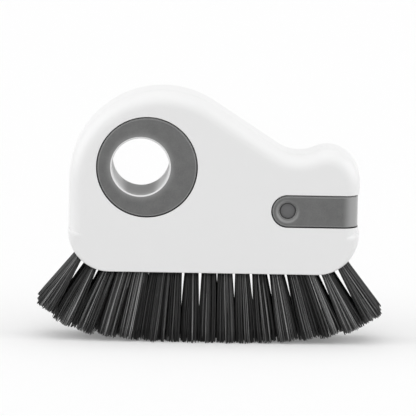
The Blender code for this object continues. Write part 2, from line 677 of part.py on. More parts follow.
def bristle_block(made):
    """The backing: a sled along the bottom and round its corners, with a slot across it for each column."""
    block = prism("bristle_block", block_outline(), -BLOCK_HALF_WIDTH, BLOCK_HALF_WIDTH)
    for side in (-1, 1):
        cut(block, rail("rail_groove", side, GAP))
    for index in range(COLUMNS):
        outline = slot_outline(index, SLICE_WIDTH / 2 + GAP, SLICE_DEPTH + GAP, WALL)
        cut(block, prism("slot", outline, -BODY_HALF, BODY_HALF))
    return finish(block, made)


def strand_places(index):
    """A column's strands: each one's tuft (y), its place in the tuft (across, y) and its cut in length.

    Each tuft is turned a little further than the one before, and the cuts follow a wave, so that no two tufts
    look the same.
    """
    places = []
    around = TUFT_STRANDS - 1
    for tuft in range(TUFTS_DEEP):
        tuft_y = (tuft - (TUFTS_DEEP - 1) / 2) * TUFT_PITCH
        turn = 360 * (index * TUFTS_DEEP + tuft) / (COLUMNS + TUFTS_DEEP)
        roots = [(0.0, 0.0)]
        for i in range(around):
            a, b = polar(turn + 360 * i / around)
            roots.append((TUFT_ROOT_RADIUS * a, TUFT_ROOT_RADIUS * b))
        for i, (a, b) in enumerate(roots):
            cut_short = STRAND_RAGGED * (0.5 + 0.5 * math.sin(7.0 * i + 3.0 * tuft + 5.0 * index))
            places.append((tuft_y, a, b, cut_short))
    return places


def bristle_column(index, made):
    """A slice of backing with its column of strands, which spread as they go down and end on the floor."""
    (root_x, root_z), _normal, lean, length = column_frame(index)
    down_x, down_z = polar(-90 + lean)
    along_x, along_z = -down_z, down_x
    work = bmesh.new()
    for tuft_y, across_root, y_root, cut_short in strand_places(index):
        rings = []
        whole = length - cut_short
        for run in (-STRAND_ROOT, whole):
            share = max(0.0, run / length)
            ring = []
            for corner in range(STRAND_SIDES):
                a, b = polar(90 + 360 * corner / STRAND_SIDES)
                a = (across_root + STRAND_RADIUS * a) * (1 + (TUFT_FLARE - 1) * share)
                y = tuft_y * (1 + (ROW_FLARE - 1) * share)
                y += (y_root + STRAND_RADIUS * b) * (1 + (TUFT_FLARE - 1) * share)
                x = root_x + along_x * a + down_x * run
                z = root_z + along_z * a + down_z * run
                ring.append(Vector((x, y, z)))
            rings.append(ring)
        root_ring, tip_ring = rings
        for i in range(STRAND_SIDES):
            if tip_ring[i].z < 0:
                share = root_ring[i].z / (root_ring[i].z - tip_ring[i].z)
                tip_ring[i] = root_ring[i].lerp(tip_ring[i], share)
                tip_ring[i].z = 0.0
        root_ring = [work.verts.new(point) for point in root_ring]
        tip_ring = [work.verts.new(point) for point in tip_ring]
        for i in range(STRAND_SIDES):
            j = (i + 1) % STRAND_SIDES
            work.faces.new((root_ring[i], root_ring[j], tip_ring[j], tip_ring[i]))
        work.faces.new(root_ring)
        work.faces.new(tip_ring)
    strands = new_object("strands", work)
    outline = slot_outline(index, SLICE_WIDTH / 2, SLICE_DEPTH, 0.0)
    column = prism(f"bristle_row_{index + 1:02d}", outline, -BLOCK_HALF_WIDTH, BLOCK_HALF_WIDTH)
    join(column, strands)
    return finish(column, made)


def main():
    for obj in list(bpy.data.objects):
        bpy.data.objects.remove(obj)
    white = material("white_plastic", (0.79, 0.79, 0.79), 0.38)
    grey = material("grey_rubber", (0.147, 0.149, 0.149), 0.75)
    dark = material("dark_button", (0.09, 0.09, 0.092), 0.6)
    black = material("black_bristle", (0.012, 0.012, 0.013), 0.5)
    backing = material("white_backing", (0.7, 0.7, 0.7), 0.5)
    steel = material("steel", (0.6, 0.6, 0.6), 0.3, 1.0)
    shell(-1, white)
    shell(1, white)
    ring_grip(grey)
    end_band(grey)
    button("button_front", -1, dark)
    button("button_rear", 1, dark)
    button_spring(steel)
    for number, (x, z) in enumerate(screw_places(), 1):
        shell_screw(f"shell_screw_{number}", x, z, steel)
    bristle_block(backing)
    for index in range(COLUMNS):
        bristle_column(index, black)


main()
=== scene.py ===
"""Dresses a window groove cleaning brush: smooth shells, grips, buttons, bristles, materials and a stage.

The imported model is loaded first. Each piece is then modelled at its real size, in metres, around it.
"""

import math
import random

import bmesh
import bpy
import numpy as np
from bpy.props import FloatProperty, FloatVectorProperty, IntProperty, PointerProperty
from mathutils import Matrix, Vector


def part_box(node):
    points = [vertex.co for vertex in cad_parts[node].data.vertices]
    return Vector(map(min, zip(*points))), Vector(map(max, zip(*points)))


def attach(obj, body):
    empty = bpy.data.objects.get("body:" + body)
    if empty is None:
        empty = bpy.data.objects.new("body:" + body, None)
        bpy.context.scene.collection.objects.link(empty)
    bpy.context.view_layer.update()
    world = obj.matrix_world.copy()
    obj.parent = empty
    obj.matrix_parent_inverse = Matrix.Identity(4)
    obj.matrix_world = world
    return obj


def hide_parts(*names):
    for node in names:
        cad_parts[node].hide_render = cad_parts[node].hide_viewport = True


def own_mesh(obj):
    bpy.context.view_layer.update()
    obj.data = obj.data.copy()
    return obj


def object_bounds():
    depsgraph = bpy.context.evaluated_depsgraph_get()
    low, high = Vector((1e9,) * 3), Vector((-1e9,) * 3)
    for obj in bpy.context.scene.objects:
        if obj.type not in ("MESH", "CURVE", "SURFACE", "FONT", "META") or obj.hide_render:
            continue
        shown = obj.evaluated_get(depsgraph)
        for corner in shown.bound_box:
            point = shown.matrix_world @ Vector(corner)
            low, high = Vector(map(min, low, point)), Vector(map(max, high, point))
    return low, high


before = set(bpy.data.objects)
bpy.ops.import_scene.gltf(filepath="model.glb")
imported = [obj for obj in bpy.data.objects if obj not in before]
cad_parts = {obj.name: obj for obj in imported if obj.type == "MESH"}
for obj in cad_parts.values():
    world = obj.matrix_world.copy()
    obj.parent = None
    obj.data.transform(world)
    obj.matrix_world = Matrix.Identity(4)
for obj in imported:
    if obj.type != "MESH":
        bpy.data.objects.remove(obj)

CAD_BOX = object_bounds()

bl_info = {
    "name": "Groove Brush Dressing",
    "version": (1, 0, 0),
    "blender": (4, 5, 0),
    "location": "3D View > Sidebar > Groove Brush",
    "description": "Models the shells, grips, buttons and bristles of a window groove cleaning brush",
    "category": "Object",
}

MM = 0.001
SIDES = (-1, 1)  # the front and the back


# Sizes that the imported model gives
RING_LOW, RING_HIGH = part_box("ring_grip")
RING_X, RING_Z = (RING_LOW.x + RING_HIGH.x) / 2, (RING_LOW.z + RING_HIGH.z) / 2
RING_RADIUS = (RING_HIGH.x - RING_LOW.x) / 2
BODY_HALF = (RING_HIGH.y - RING_LOW.y) / 2
SHELL_LOW, SHELL_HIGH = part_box("rear_shell")
BODY_X = (SHELL_LOW.x + SHELL_HIGH.x) / 2
# The shells end just below the foot's widest level.
FOOT_HALF_LENGTH = (SHELL_HIGH.x - SHELL_LOW.x) / 2 + 0.05 * MM
FOOT_BOTTOM = SHELL_LOW.z
REAR_EDGE_Y = SHELL_LOW.y
BAND_LOW, BAND_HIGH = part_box("end_band")
BAND_Z = (BAND_LOW.z + BAND_HIGH.z) / 2
BAND_RADIUS = (BAND_HIGH.z - BAND_LOW.z) / 2
BAND_X = BAND_LOW.x + BAND_RADIUS
BAND_END = BAND_HIGH.x
BLOCK_LOW, BLOCK_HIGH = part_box("bristle_block")
BLOCK_HALF_WIDTH = (BLOCK_HIGH.y - BLOCK_LOW.y) / 2
BUTTONS = ("button_front", "button_rear")
BUTTON_LOW, BUTTON_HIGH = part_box("button_front")
FLANGE_RADIUS = (BUTTON_HIGH.x - BUTTON_LOW.x) / 2
SHELLS = ("front_shell", "rear_shell")
BRISTLE_ROWS = sorted(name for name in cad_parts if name.startswith("bristle_row"))
SCREWS = sorted(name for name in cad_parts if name.startswith("shell_screw"))

# Sizes of what lies inside, the buttons' travel, and where cutters end
BLOCK_THICKNESS = 9 * MM
BLOCK_END_TURN = math.radians(62)
FLANGE_THICKNESS, FLANGE_PLACE = 1.2 * MM, 3 * MM  # the place is measured from the stem's end
STEM_RADIUS = 2.2 * MM
FOOT_NECK = 0.4 * MM  # straight stretch from the foot's arcs to its rounded top
RAIL_LOW, RAIL_HIGH = 5.2 * MM, 7.2 * MM  # above the foot's bottom
RAIL_DEPTH, RAIL_CLEARANCE = 1.4 * MM, 0.3 * MM
SCREW_HOLE, SCREW_SEAT, SCREW_POST = 1.5 * MM, 2.9 * MM, 4.6 * MM
PIN_WALL = 2 * MM
PAST_FACE = 1.2 * BODY_HALF  # outside the body

# The slit to the right of each column: its width at the root in millimetres, and the share of the
# bristles' length at which it closes. Where there is none the columns run into each other.
SLITS = (
    (3.4, 0.70),
    (3.0, 0.60),
    (-0.7, 1.0),
    (-0.7, 1.0),
    (1.2, 0.40),
    (-0.7, 1.0),
    (1.8, 0.60),
    (1.9, 0.65),
    (1.2, 0.40),
    (1.9, 0.60),
    (1.9, 0.60),
    (2.0, 0.65),
    (2.2, 0.65),
    (-0.7, 1.0),
    (3.0, 0.90),
    (3.6, 0.95),
)


def length(name, default, description):
    """A size in metres, from a value in millimetres."""
    return FloatProperty(
        name=name, description=description, default=default * MM, precision=5, unit="LENGTH"
    )


def angle(name, default, description):
    """An angle, from a value in degrees."""
    return FloatProperty(name=name, description=description, default=math.radians(default), unit="ROTATION")


def number(name, default, description):
    """A plain number, not below 0."""
    return FloatProperty(name=name, description=description, default=default, min=0.0)


def colour(name, default, description):
    """A linear colour."""
    return FloatVectorProperty(
        name=name, description=description, default=default, size=3, subtype="COLOR", min=0.0, max=1.0
    )


class BodySizes(bpy.types.PropertyGroup):
    """The white body, seen from the side, and its shells."""

    edge: length("Soft edge", 6.5, "Radius of the edges of the upper body")
    dome: length("Hand rest", 39.1, "Radius of the large arc of the hand rest")
    dome_height: length("Hand rest height", 67.6, "Height of that arc's centre above the floor")
    slope: angle("Slope", 33.0, "Fall of the hand rest's back")
    dip: length("Dip", 16.0, "Radius of the dip in the top")
    nub: length("Nub", 12.1, "Radius of the raised right-hand corner")
    nub_top: length("Nub height", 82.95, "Height of its top above the floor")
    shoulder: length("Shoulder", 15.4, "Radius where the nub turns down")
    shoulder_join: angle("Shoulder join", 62.8, "Direction from the shoulder's centre where the nub begins")
    end_lean: angle("End lean", 1.65, "Lean of the right-hand end, in towards the foot")
    left_ledge: length("Left ledge", 0.2, "How far the foot stands out past the body at the left")
    right_ledge: length("Right ledge", 0.0, "How far the foot stands out past the shoulder at the right")
    ledge: length("Ledge height", 47.8, "Height of the foot's top above the floor")
    foot_corner: length("Foot corner", 17.5, "Radius of the foot's lower corners")
    foot_edge: length("Foot edge", 3.3, "Radius of the foot's edges at the ledge, smaller down the corners")
    foot_bottom_edge: length("Foot bottom edge", 0.45, "Radius of the foot's edges along the bottom")
    wall: length("Wall", 2.2, "Thickness of the shells")
    inner_wall: length("Inner wall", 1.6, "Thickness of the walls behind the grips and round the bosses")
    parting: length("Parting line", 0.3, "Width of the joint between the shells")
    foot_rim: length("Foot rim", 0.5, "Rounding of the ends of the foot's top")
    rim: length("Rim", 0.28, "Rounding of the sharp rims")
    pin: length("Locating pin", 1.8, "Radius of the pins between the shells")


class GripSizes(bpy.types.PropertyGroup):
    """The grey finger ring and the grey band."""

    gap: length("Gap", 0.45, "Gap between the grey pieces and the white body")
    thickness: length("Thickness", 2.2, "Thickness of the flanges and of the band")
    rim: length("Rim", 0.4, "Rounding of the outer rims")
    bore: length("Finger bore", 12.0, "Radius of the finger bore")
    bore_shift: length("Bore shift", 2.7, "How far the bore lies to the left of the ring's centre")
    bore_rise: length("Bore rise", 0.15, "How far the bore lies above the ring's centre")
    bore_rim: length("Bore rim", 0.75, "Rounding of the bore's ends")
    sleeve: length("Sleeve", 2.5, "Wall of the sleeve round the bore")
    dimple: length("Dimple", 5.0, "Radius of the dish round a button")
    dimple_depth: length("Dimple depth", 1.1, "Depth of that dish")


class ButtonSizes(bpy.types.PropertyGroup):
    """The push buttons."""

    radius: length("Radius", 3.3, "Radius of a button's nose")
    gap: length("Gap", 0.14, "Gap between a button and its hole")
    dome: length("Dome", 0.45, "How far the middle of the nose stands out from its rim")
    rim: length("Rim", 0.5, "Rounding of the nose's rim")


class BristleSizes(bpy.types.PropertyGroup):
    """The fan of bristles: columns across the foot, each of three tufts."""

    length: length("Length", 30.55, "Length of the bristles in the middle, before the floor trims them")
    end_share: number("End shortening", 0.13, "Share by which the last column is shorter")
    lean: angle("Lean", 33.5, "Lean of the last column")
    lean_power: number("Lean power", 1.6, "How fast the lean grows towards the ends")
    fan_end: angle("Fan end", 41.65, "Angle round the foot's corner at which the fan ends")
    tuft_pitch: length("Tuft pitch", 7.0, "Distance between tufts from front to back")
    row_flare: number("Row flare", 1.27, "Growth of that distance from root to tip")
    root: length("Tuft root", 3.0, "Radius of a tuft's hole in the block")
    slit: number("Slit", 1.0, "Share of their width that the slits between columns have")
    left_root: length("Left root", 0.4, "Half width at the root of the first column's outer side")
    right_root: length("Right root", 1.9, "Half width at the root of the last column's outer side")
    outer_tip: length("Outer tip", 3.6, "Half width at the tips of the outer sides")
    depth: length("Root depth", 1.5, "How deep the roots stand in the block")
    thickness: length("Filament", 0.45, "Thickness of one filament")
    ragged: length("Ragged", 0.9, "How much the filaments of a tuft differ in length")
    filaments: IntProperty(name="Filaments", description="Filaments in one tuft", default=150, min=10)
    seed: IntProperty(name="Seed", description="Seed of the filaments' scatter", default=11)


class Colours(bpy.types.PropertyGroup):
    """Base colours, linear; some of them are painted shade or painted highlights."""

    shell: colour("Shell", (0.80, 0.80, 0.80), "White plastic of the body")
    grip: colour("Grip", (0.118, 0.119, 0.118), "Grey soft plastic of the ring and the band")
    # Painted shade: the darker grey laid on the top and the bottom of the finger bore, where shade falls
    # inside it
    painted_bore_shade: colour("Bore wall", (0.07, 0.07, 0.07), "Darker grey of the top and the bottom of the bore")
    # Painted highlight: the pale grey laid as painted reflection on the bore's sides, on its rims, in a halo
    # round the bore and on each dish's lower left
    painted_grip_highlight: colour("Pale grip", (0.75, 0.75, 0.75), "Pale grey of the bore's sides and rims")
    # Painted sheen: the paler grey laid where the band turns round the end, and as a painted highlight along
    # the grey pieces' outer rims
    painted_grip_sheen: colour("Band turn", (0.30, 0.30, 0.30), "Paler grey where the band turns round the end")
    # Painted shade: the dark tone laid on the white walls of the narrow joints round the grey pieces
    joint: colour("Joint", (0.03, 0.03, 0.03), "Dark tone in the joints round the grey pieces")
    button: colour("Button", (0.115, 0.115, 0.117), "Dark plastic of the buttons")
    bristle: colour("Bristle", (0.004, 0.004, 0.004), "Black nylon of the darkest bristles")
    # Painted highlight: the pale grey of the lightest bristles stands in for glints on the black nylon
    painted_bristle_glint: colour("Pale bristle", (0.52, 0.52, 0.52), "Nylon of the lightest bristles")
    block: colour("Block", (0.74, 0.74, 0.74), "Plastic of the bristle block")
    steel: colour("Steel", (0.62, 0.62, 0.61), "Plated steel of the screws and the spring")
    floor: colour("Floor", (0.74, 0.74, 0.74), "Floor under the brush")


class StageSettings(bpy.types.PropertyGroup):
    """Camera and light."""

    distance: length("Distance", 3000.0, "From the camera to the brush")
    field: length("Field", 175.2, "Width of the picture at the brush")
    elevation: angle("Elevation", 10.0, "How far the camera looks down")
    roll: angle("Roll", 1.0, "How far the camera is turned about its view")
    target_x: length("Target X", -0.72, "What the camera looks at")
    target_z: length("Target Z", 55.59, "What the camera looks at")
    sky: number("Sky", 0.66, "Strength of the even light from all round")
    overhead: number("Overhead", 0.68, "Strength of the soft light from above")
    side: number("Side", 1.08, "Strength of each of the soft lights from the left and the right")
    backdrop: number("Backdrop", 0.985, "Brightness of the background, as the camera sees it")
    floor_glow: number("Floor glow", 0.181, "Brightness added to the floor, as the camera sees it")


PROPERTY_GROUPS = {
    "brush_body": BodySizes,
    "brush_grip": GripSizes,
    "brush_button": ButtonSizes,
    "brush_bristle": BristleSizes,
    "brush_colour": Colours,
    "brush_stage": StageSettings,
}


def settings(name):
    """One group of settings, kept on the scene."""
    return getattr(bpy.context.scene, "brush_" + name)


# Drawing and modelling by hand
def deselect_all():
    if bpy.context.mode != "OBJECT":
        bpy.ops.object.mode_set(mode="OBJECT")
    bpy.ops.object.select_all(action="DESELECT")


def select_only(obj):
    deselect_all()
    obj.select_set(True)
    bpy.context.view_layer.objects.active = obj


def copy_of(obj):
    """A copy with its own mesh."""
    select_only(obj)
    bpy.ops.object.duplicate()
    return bpy.context.active_object


def direction(turn):
    """The unit vector (x, z) at an angle, from +X towards +Z."""
    return math.cos(turn), math.sin(turn)


def polar(place, radius, turn):
    """The point (x, z) at a radius and an angle from a place."""
    return place[0] + radius * math.cos(turn), place[1] + radius * math.sin(turn)


def add_object(name, data):
    """Puts new data into the scene."""
    obj = bpy.data.objects.new(name, data)
    bpy.context.scene.collection.objects.link(obj)
    return obj


def pen_down(name, x, y, z):
    """Starts an outline with one point, and stays in edit mode."""
    deselect_all()
    bpy.ops.mesh.primitive_plane_add(size=MM)
    bpy.context.active_object.name = name
    bpy.ops.object.mode_set(mode="EDIT")
    bpy.ops.mesh.select_mode(type="VERT")
    bpy.ops.mesh.merge(type="CENTER")
    bpy.ops.transform.translate(value=(x, y, z))


def pen_place():
    """Where the pen is: the one selected point."""
    work = bmesh.from_edit_mesh(bpy.context.edit_object.data)
    return next(v.co.copy() for v in work.verts if v.select)


def pen_line(x, y, z):
    """Draws a straight line from the pen to a point."""
    move = Vector((x, y, z)) - pen_place()
    bpy.ops.mesh.extrude_region_move(TRANSFORM_OT_translate={"value": move})


def pen_to(x, z):
    """Draws a straight line seen from the front, from the pen to (x, z)."""
    pen_line(x, pen_place().y, z)


def pen_arc(x, z, turn, step=3.0):
    """Draws an arc seen from the front about (x, z), through an angle from +X towards +Z."""
    steps = max(2, round(abs(math.degrees(turn)) / step))
    bpy.ops.mesh.spin(steps=steps, angle=turn, center=(x, pen_place().y, z), axis=(0, 1, 0))


def pen_turn(x, y, turn, step=6.0):
    """Draws an arc seen from above about (x, y), through an angle from +X towards +Y."""
    steps = max(2, round(abs(math.degrees(turn)) / step))
    bpy.ops.mesh.spin(steps=steps, angle=-turn, center=(x, y, pen_place().z), axis=(0, 0, 1))


def finish_solid(merge=False):
    """Turns all faces outward, and leaves edit mode."""
    bpy.ops.mesh.select_all(action="SELECT")
    if merge:
        bpy.ops.mesh.remove_doubles(threshold=MM / 1000)
    bpy.ops.mesh.normals_make_consistent(inside=False)
    bpy.ops.object.mode_set(mode="OBJECT")
    return bpy.context.active_object


def draw_out(**way):
    """Closes the outline and draws it out into a solid along an axis."""
    bpy.ops.mesh.select_all(action="SELECT")
    bpy.ops.mesh.remove_doubles(threshold=MM / 1000)
    bpy.ops.mesh.edge_face_add()
    move = Vector([way.get(axis, 0.0) for axis in "xyz"])
    bpy.ops.mesh.extrude_region_move(TRANSFORM_OT_translate={"value": move})
    return finish_solid()


def bevel(obj, width, segments, wanted):
    """Rounds the edges that a test picks."""
    select_only(obj)
    bpy.ops.object.mode_set(mode="EDIT")
    bpy.ops.mesh.select_mode(type="EDGE")
    bpy.ops.mesh.select_all(action="DESELECT")
    work = bmesh.from_edit_mesh(obj.data)
    for edge in work.edges:
        if wanted(edge):
            edge.select_set(True)
    bmesh.update_edit_mesh(obj.data)
    bpy.ops.mesh.bevel(offset=width, segments=segments, affect="EDGES", clamp_overlap=False)
    bpy.ops.mesh.select_mode(type="VERT")
    bpy.ops.object.mode_set(mode="OBJECT")
    return obj


def is_sharp(edge):
    return edge.calc_face_angle(0.0) > math.radians(50)


def on_level(edge, axis, level, slack=0.01 * MM):
    """Both ends of an edge lie at a level along an axis: 0 for X, 1 for Y and 2 for Z."""
    return all(abs(v.co[axis] - level) < slack for v in edge.verts)


def on_face(edge, half):
    """Both ends of an edge lie on the front face or on the back face."""
    return on_level(edge, 1, -half) or on_level(edge, 1, half)


def on_circle(edge, x, z, radius, slack=0.02 * MM):
    """Both ends of an edge lie on a circle seen from the front."""
    return all(abs(math.hypot(v.co.x - x, v.co.z - z) - radius) < slack for v in edge.verts)


def rod(name, x, z, radius, y_start, y_end, sides=96):
    """A cylinder along Y."""
    deselect_all()
    middle = (x, (y_start + y_end) / 2, z)
    depth = abs(y_end - y_start)
    turn = (math.pi / 2, 0, 0)
    bpy.ops.mesh.primitive_cylinder_add(
        vertices=sides, radius=radius, depth=depth, location=middle, rotation=turn
    )
    bpy.ops.object.transform_apply(location=True, rotation=True, scale=True)
    bpy.context.active_object.name = name
    return bpy.context.active_object


def turned(name, x, z, profile, sides=96):
    """A solid turned about an axis along Y, from a profile of (radius, y) that begins and ends on it."""
    pen_down(name, x + profile[0][0], profile[0][1], z)
    for radius, y in profile[1:]:
        pen_line(x + radius, y, z)
    bpy.ops.mesh.select_all(action="SELECT")
    bpy.ops.mesh.spin(steps=sides, angle=2 * math.pi, center=(x, 0, z), axis=(0, 1, 0))
    return finish_solid(merge=True)


def combine(obj, operation, *tools):
    """Joins tools to an object, cuts them out of it or keeps what they share, and removes the tools."""
    for tool in tools:
        select_only(obj)
        bpy.ops.object.modifier_add(type="BOOLEAN")
        modifier = obj.modifiers[-1]
        modifier.operation = operation
        modifier.solver = "EXACT"
        modifier.object = tool
        bpy.ops.object.modifier_apply(modifier=modifier.name)
        bpy.data.objects.remove(tool)
    return obj


def cut(obj, *tools):
    return combine(obj, "DIFFERENCE", *tools)


def keep_side(obj, y, side):
    """Cuts an object square to Y and keeps its front (-1) or its back (1), closed."""
    select_only(obj)
    bpy.ops.object.mode_set(mode="EDIT")
    bpy.ops.mesh.select_all(action="SELECT")
    bpy.ops.mesh.bisect(
        plane_co=(0, y, 0), plane_no=(0, 1, 0), use_fill=True, clear_inner=side > 0, clear_outer=side < 0
    )
    bpy.ops.object.mode_set(mode="OBJECT")
    return obj


def smooth(obj, sharp=35.0):
    """Smooth shading that keeps sharp edges and leaves flat faces flat up to their rims."""
    select_only(obj)
    bpy.ops.object.shade_smooth_by_angle(angle=math.radians(sharp))
    bpy.ops.object.modifier_add(type="WEIGHTED_NORMAL")
    modifier = obj.modifiers[-1]
    modifier.keep_sharp = True
    bpy.ops.object.modifier_apply(modifier=modifier.name)
    return obj


def place_piece(obj, name, body, slot, made, *nodes):
    """Gives a finished piece its name, material and body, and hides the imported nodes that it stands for."""
    obj.name = name
    obj.data.name = name
    obj.data.materials.clear()
    obj.data.materials.append(made)
    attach(obj, body)
    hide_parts(*nodes)


# The body's outline
def shoulder_place():
    """The centre (x, z) of the shoulder."""
    body = settings("body")
    sine = direction(body.shoulder_join)[1]
    x = BODY_X + FOOT_HALF_LENGTH - body.right_ledge - body.shoulder
    return x, body.nub_top - body.nub - (body.shoulder - body.nub) * sine


def nub_place():
    """The centre (x, z) of the nub, the raised right-hand corner of the top."""
    body = settings("body")
    cosine = direction(body.shoulder_join)[0]
    return shoulder_place()[0] + (body.shoulder - body.nub) * cosine, body.nub_top - body.nub


def dome_place():
    """The centre (x, z) of the hand rest's arc."""
    body = settings("body")
    return BODY_X - FOOT_HALF_LENGTH + body.left_ledge + body.dome, body.dome_height


def dip_place():
    """The centre (x, z) of the dip, which touches the slope and the nub, and its angle at the nub."""
    body = settings("body")
    dome_x, dome_z = dome_place()
    nub_x, nub_z = nub_place()
    slope_x, slope_z = direction(math.pi / 2 - body.slope)
    rise = slope_x * (dome_x - nub_x) + slope_z * (dome_z - nub_z) + body.dome + body.dip
    run = math.sqrt((body.dip + body.nub) ** 2 - rise**2)
    x = nub_x + rise * slope_x - run * slope_z
    z = nub_z + rise * slope_z + run * slope_x
    return x, z, math.atan2(z - nub_z, nub_x - x)


def end_x(z, inset=0.0):
    """The X of the body's right-hand end below its shoulder, at a height z."""
    body = settings("body")
    x, join_z = polar(shoulder_place(), body.shoulder - inset, -body.end_lean)
    return x - (join_z - z) * math.tan(body.end_lean)


def upper_body(name, inset, half, edge, segments):
    """The body above its foot, drawn in by an inset, with soft edges. It narrows inside the foot."""
    body = settings("body")
    dome, shoulder = dome_place(), shoulder_place()
    dip_x, dip_z, nub_join = dip_place()
    low, corner = body.ledge - body.foot_edge - FOOT_NECK, body.ledge - 0.9 * MM
    left, right = dome[0] - body.dome + inset, end_x(corner, inset)
    taper = 0.8 * MM
    pen_down(name, right - taper, -half, low)
    pen_to(right, corner)
    pen_to(*polar(shoulder, body.shoulder - inset, -body.end_lean))
    pen_arc(*shoulder, body.shoulder_join + body.end_lean)
    pen_arc(*nub_place(), math.pi - nub_join - body.shoulder_join)
    pen_arc(dip_x, dip_z, nub_join - math.pi / 2 - body.slope)
    pen_to(*polar(dome, body.dome - inset, math.pi / 2 - body.slope))
    pen_arc(*dome, math.pi / 2 + body.slope, 2.0)
    pen_to(left, corner)
    pen_to(left + taper, low)
    solid = draw_out(y=2 * half)
    return bevel(solid, edge, segments, lambda e: on_face(e, half) and not on_level(e, 2, low))


def foot_corners():
    """The centres (x, z) of the foot's lower corners, the left and the right."""
    body = settings("body")
    flat = FOOT_HALF_LENGTH - body.foot_corner
    return [(BODY_X + side * flat, FOOT_BOTTOM + body.foot_corner) for side in SIDES]


def foot(name, inset, top, half):
    """The wider foot, drawn in by an inset, with sharp edges."""
    body = settings("body")
    left, right = foot_corners()
    radius = body.foot_corner - inset
    out = radius * math.cos(math.asin((top - left[1]) / radius))
    turn = math.pi / 2 + math.asin((top - body.foot_edge - FOOT_NECK - left[1]) / radius)
    pen_down(name, left[0], -half, left[1] - radius)
    pen_to(right[0], right[1] - radius)
    pen_arc(*right, turn)
    pen_to(right[0] + out, top)
    pen_to(left[0] - out, top)
    pen_to(*polar(left, radius, 1.5 * math.pi - turn))
    pen_arc(*left, turn)
    return draw_out(y=2 * half)


def round_foot(solid):
    """Rounds the foot's edges: fully at the ledge, and less and less down its corners to the bottom."""
    body = settings("body")
    weights = solid.data.attributes.new("bevel_weight_edge", "FLOAT", "EDGE")
    for edge in solid.data.edges:
        first, second = (solid.data.vertices[i].co for i in edge.vertices)
        if abs(first.y - second.y) > BODY_HALF:
            width = body.foot_rim if first.z > body.ledge - MM / 10 else 0.0
        else:
            climb = ((first.z + second.z) / 2 - FOOT_BOTTOM) / body.foot_corner
            growth = (body.foot_edge - body.foot_bottom_edge) * min(1.0, max(0.0, climb))
            width = body.foot_bottom_edge + growth
        weights.data[edge.index].value = width / body.foot_edge
    select_only(solid)
    bpy.ops.object.modifier_add(type="BEVEL")
    modifier = solid.modifiers[-1]
    modifier.limit_method = "WEIGHT"
    modifier.width = body.foot_edge
    modifier.segments = 8
    modifier.use_clamp_overlap = False
    bpy.ops.object.modifier_apply(modifier=modifier.name)
    return solid


def outer_body():
    """The whole outer form of the body: the upper body with its soft edges, on its foot."""
    body = settings("body")
    solid = upper_body("outer_body", 0.0, BODY_HALF, body.edge, 14)
    return combine(solid, "UNION", round_foot(foot("foot", 0.0, body.ledge, BODY_HALF - 0.003 * MM)))


# What the shells and the grips share
def bore_place():
    grip = settings("grip")
    return RING_X - grip.bore_shift, RING_Z + grip.bore_rise


def sleeve_radius():
    grip = settings("grip")
    return grip.bore + grip.sleeve


def inlay_floor():
    """Depth of the recesses for the grey pieces."""
    grip = settings("grip")
    return grip.thickness + grip.gap


def band_solid(name, outer, inner, half_width):
    """A U round the right-hand end, between two depths, with round tips about the buttons' axis."""
    edge = settings("body").edge
    centre_x, centre_y = BAND_END - edge, BODY_HALF - edge
    tip_x = BAND_LOW.x - 2 * half_width
    low = BAND_Z - 2 * half_width
    pen_down(name, tip_x, -BODY_HALF + outer, low)
    pen_line(centre_x, -BODY_HALF + outer, low)
    pen_turn(centre_x, -centre_y, math.pi / 2)
    pen_line(centre_x + edge - outer, centre_y, low)
    pen_turn(centre_x, centre_y, math.pi / 2)
    pen_line(tip_x, BODY_HALF - outer, low)
    pen_line(tip_x, BODY_HALF - inner, low)
    pen_line(centre_x, BODY_HALF - inner, low)
    pen_turn(centre_x, centre_y, -math.pi / 2)
    pen_line(centre_x + edge - inner, -centre_y, low)
    pen_turn(centre_x, -centre_y, -math.pi / 2)
    pen_line(tip_x, -BODY_HALF + inner, low)
    solid = draw_out(z=4 * half_width)
    face, far_x = 1.5 * BODY_HALF, BAND_END + BODY_HALF
    pen_down("band_outline", BAND_X, -face, BAND_Z + half_width)
    pen_arc(BAND_X, BAND_Z, math.pi)
    pen_to(far_x, BAND_Z - half_width)
    pen_to(far_x, BAND_Z + half_width)
    return combine(solid, "INTERSECT", draw_out(y=2 * face))


def on_band_rim(edge, half_width):
    """An edge lies where the band's outline, or its recess's, meets the body's outer side."""
    soft = settings("body").edge
    for v in edge.verts:
        x, y, z = v.co.x, abs(v.co.y), v.co.z - BAND_Z
        off = math.hypot(x - BAND_X, z) if x < BAND_X else abs(z)
        if abs(off - half_width) > 0.02 * MM:
            return False
        depth = BODY_HALF - y
        if x > BAND_END - soft:
            corner = math.hypot(x - BAND_END + soft, max(0.0, y - BODY_HALF + soft))
            depth = soft - corner
        if abs(depth) > 0.9 * MM:
            return False
    return is_sharp(edge)


def rail(name, side, grow=0.0):
    """The rib inside a shell that locks the bristle block, or its groove in the block."""
    body = settings("body")
    run = FOOT_HALF_LENGTH - body.foot_corner - 4 * MM + grow
    low, high = FOOT_BOTTOM + RAIL_LOW - grow, FOOT_BOTTOM + RAIL_HIGH + grow
    y = side * (BODY_HALF - body.wall - RAIL_DEPTH - grow)
    pen_down(name, BODY_X - run, y, low)
    pen_to(BODY_X + run, low)
    pen_to(BODY_X + run, high)
    pen_to(BODY_X - run, high)
    return draw_out(y=side * (RAIL_DEPTH + grow + body.wall / 2))


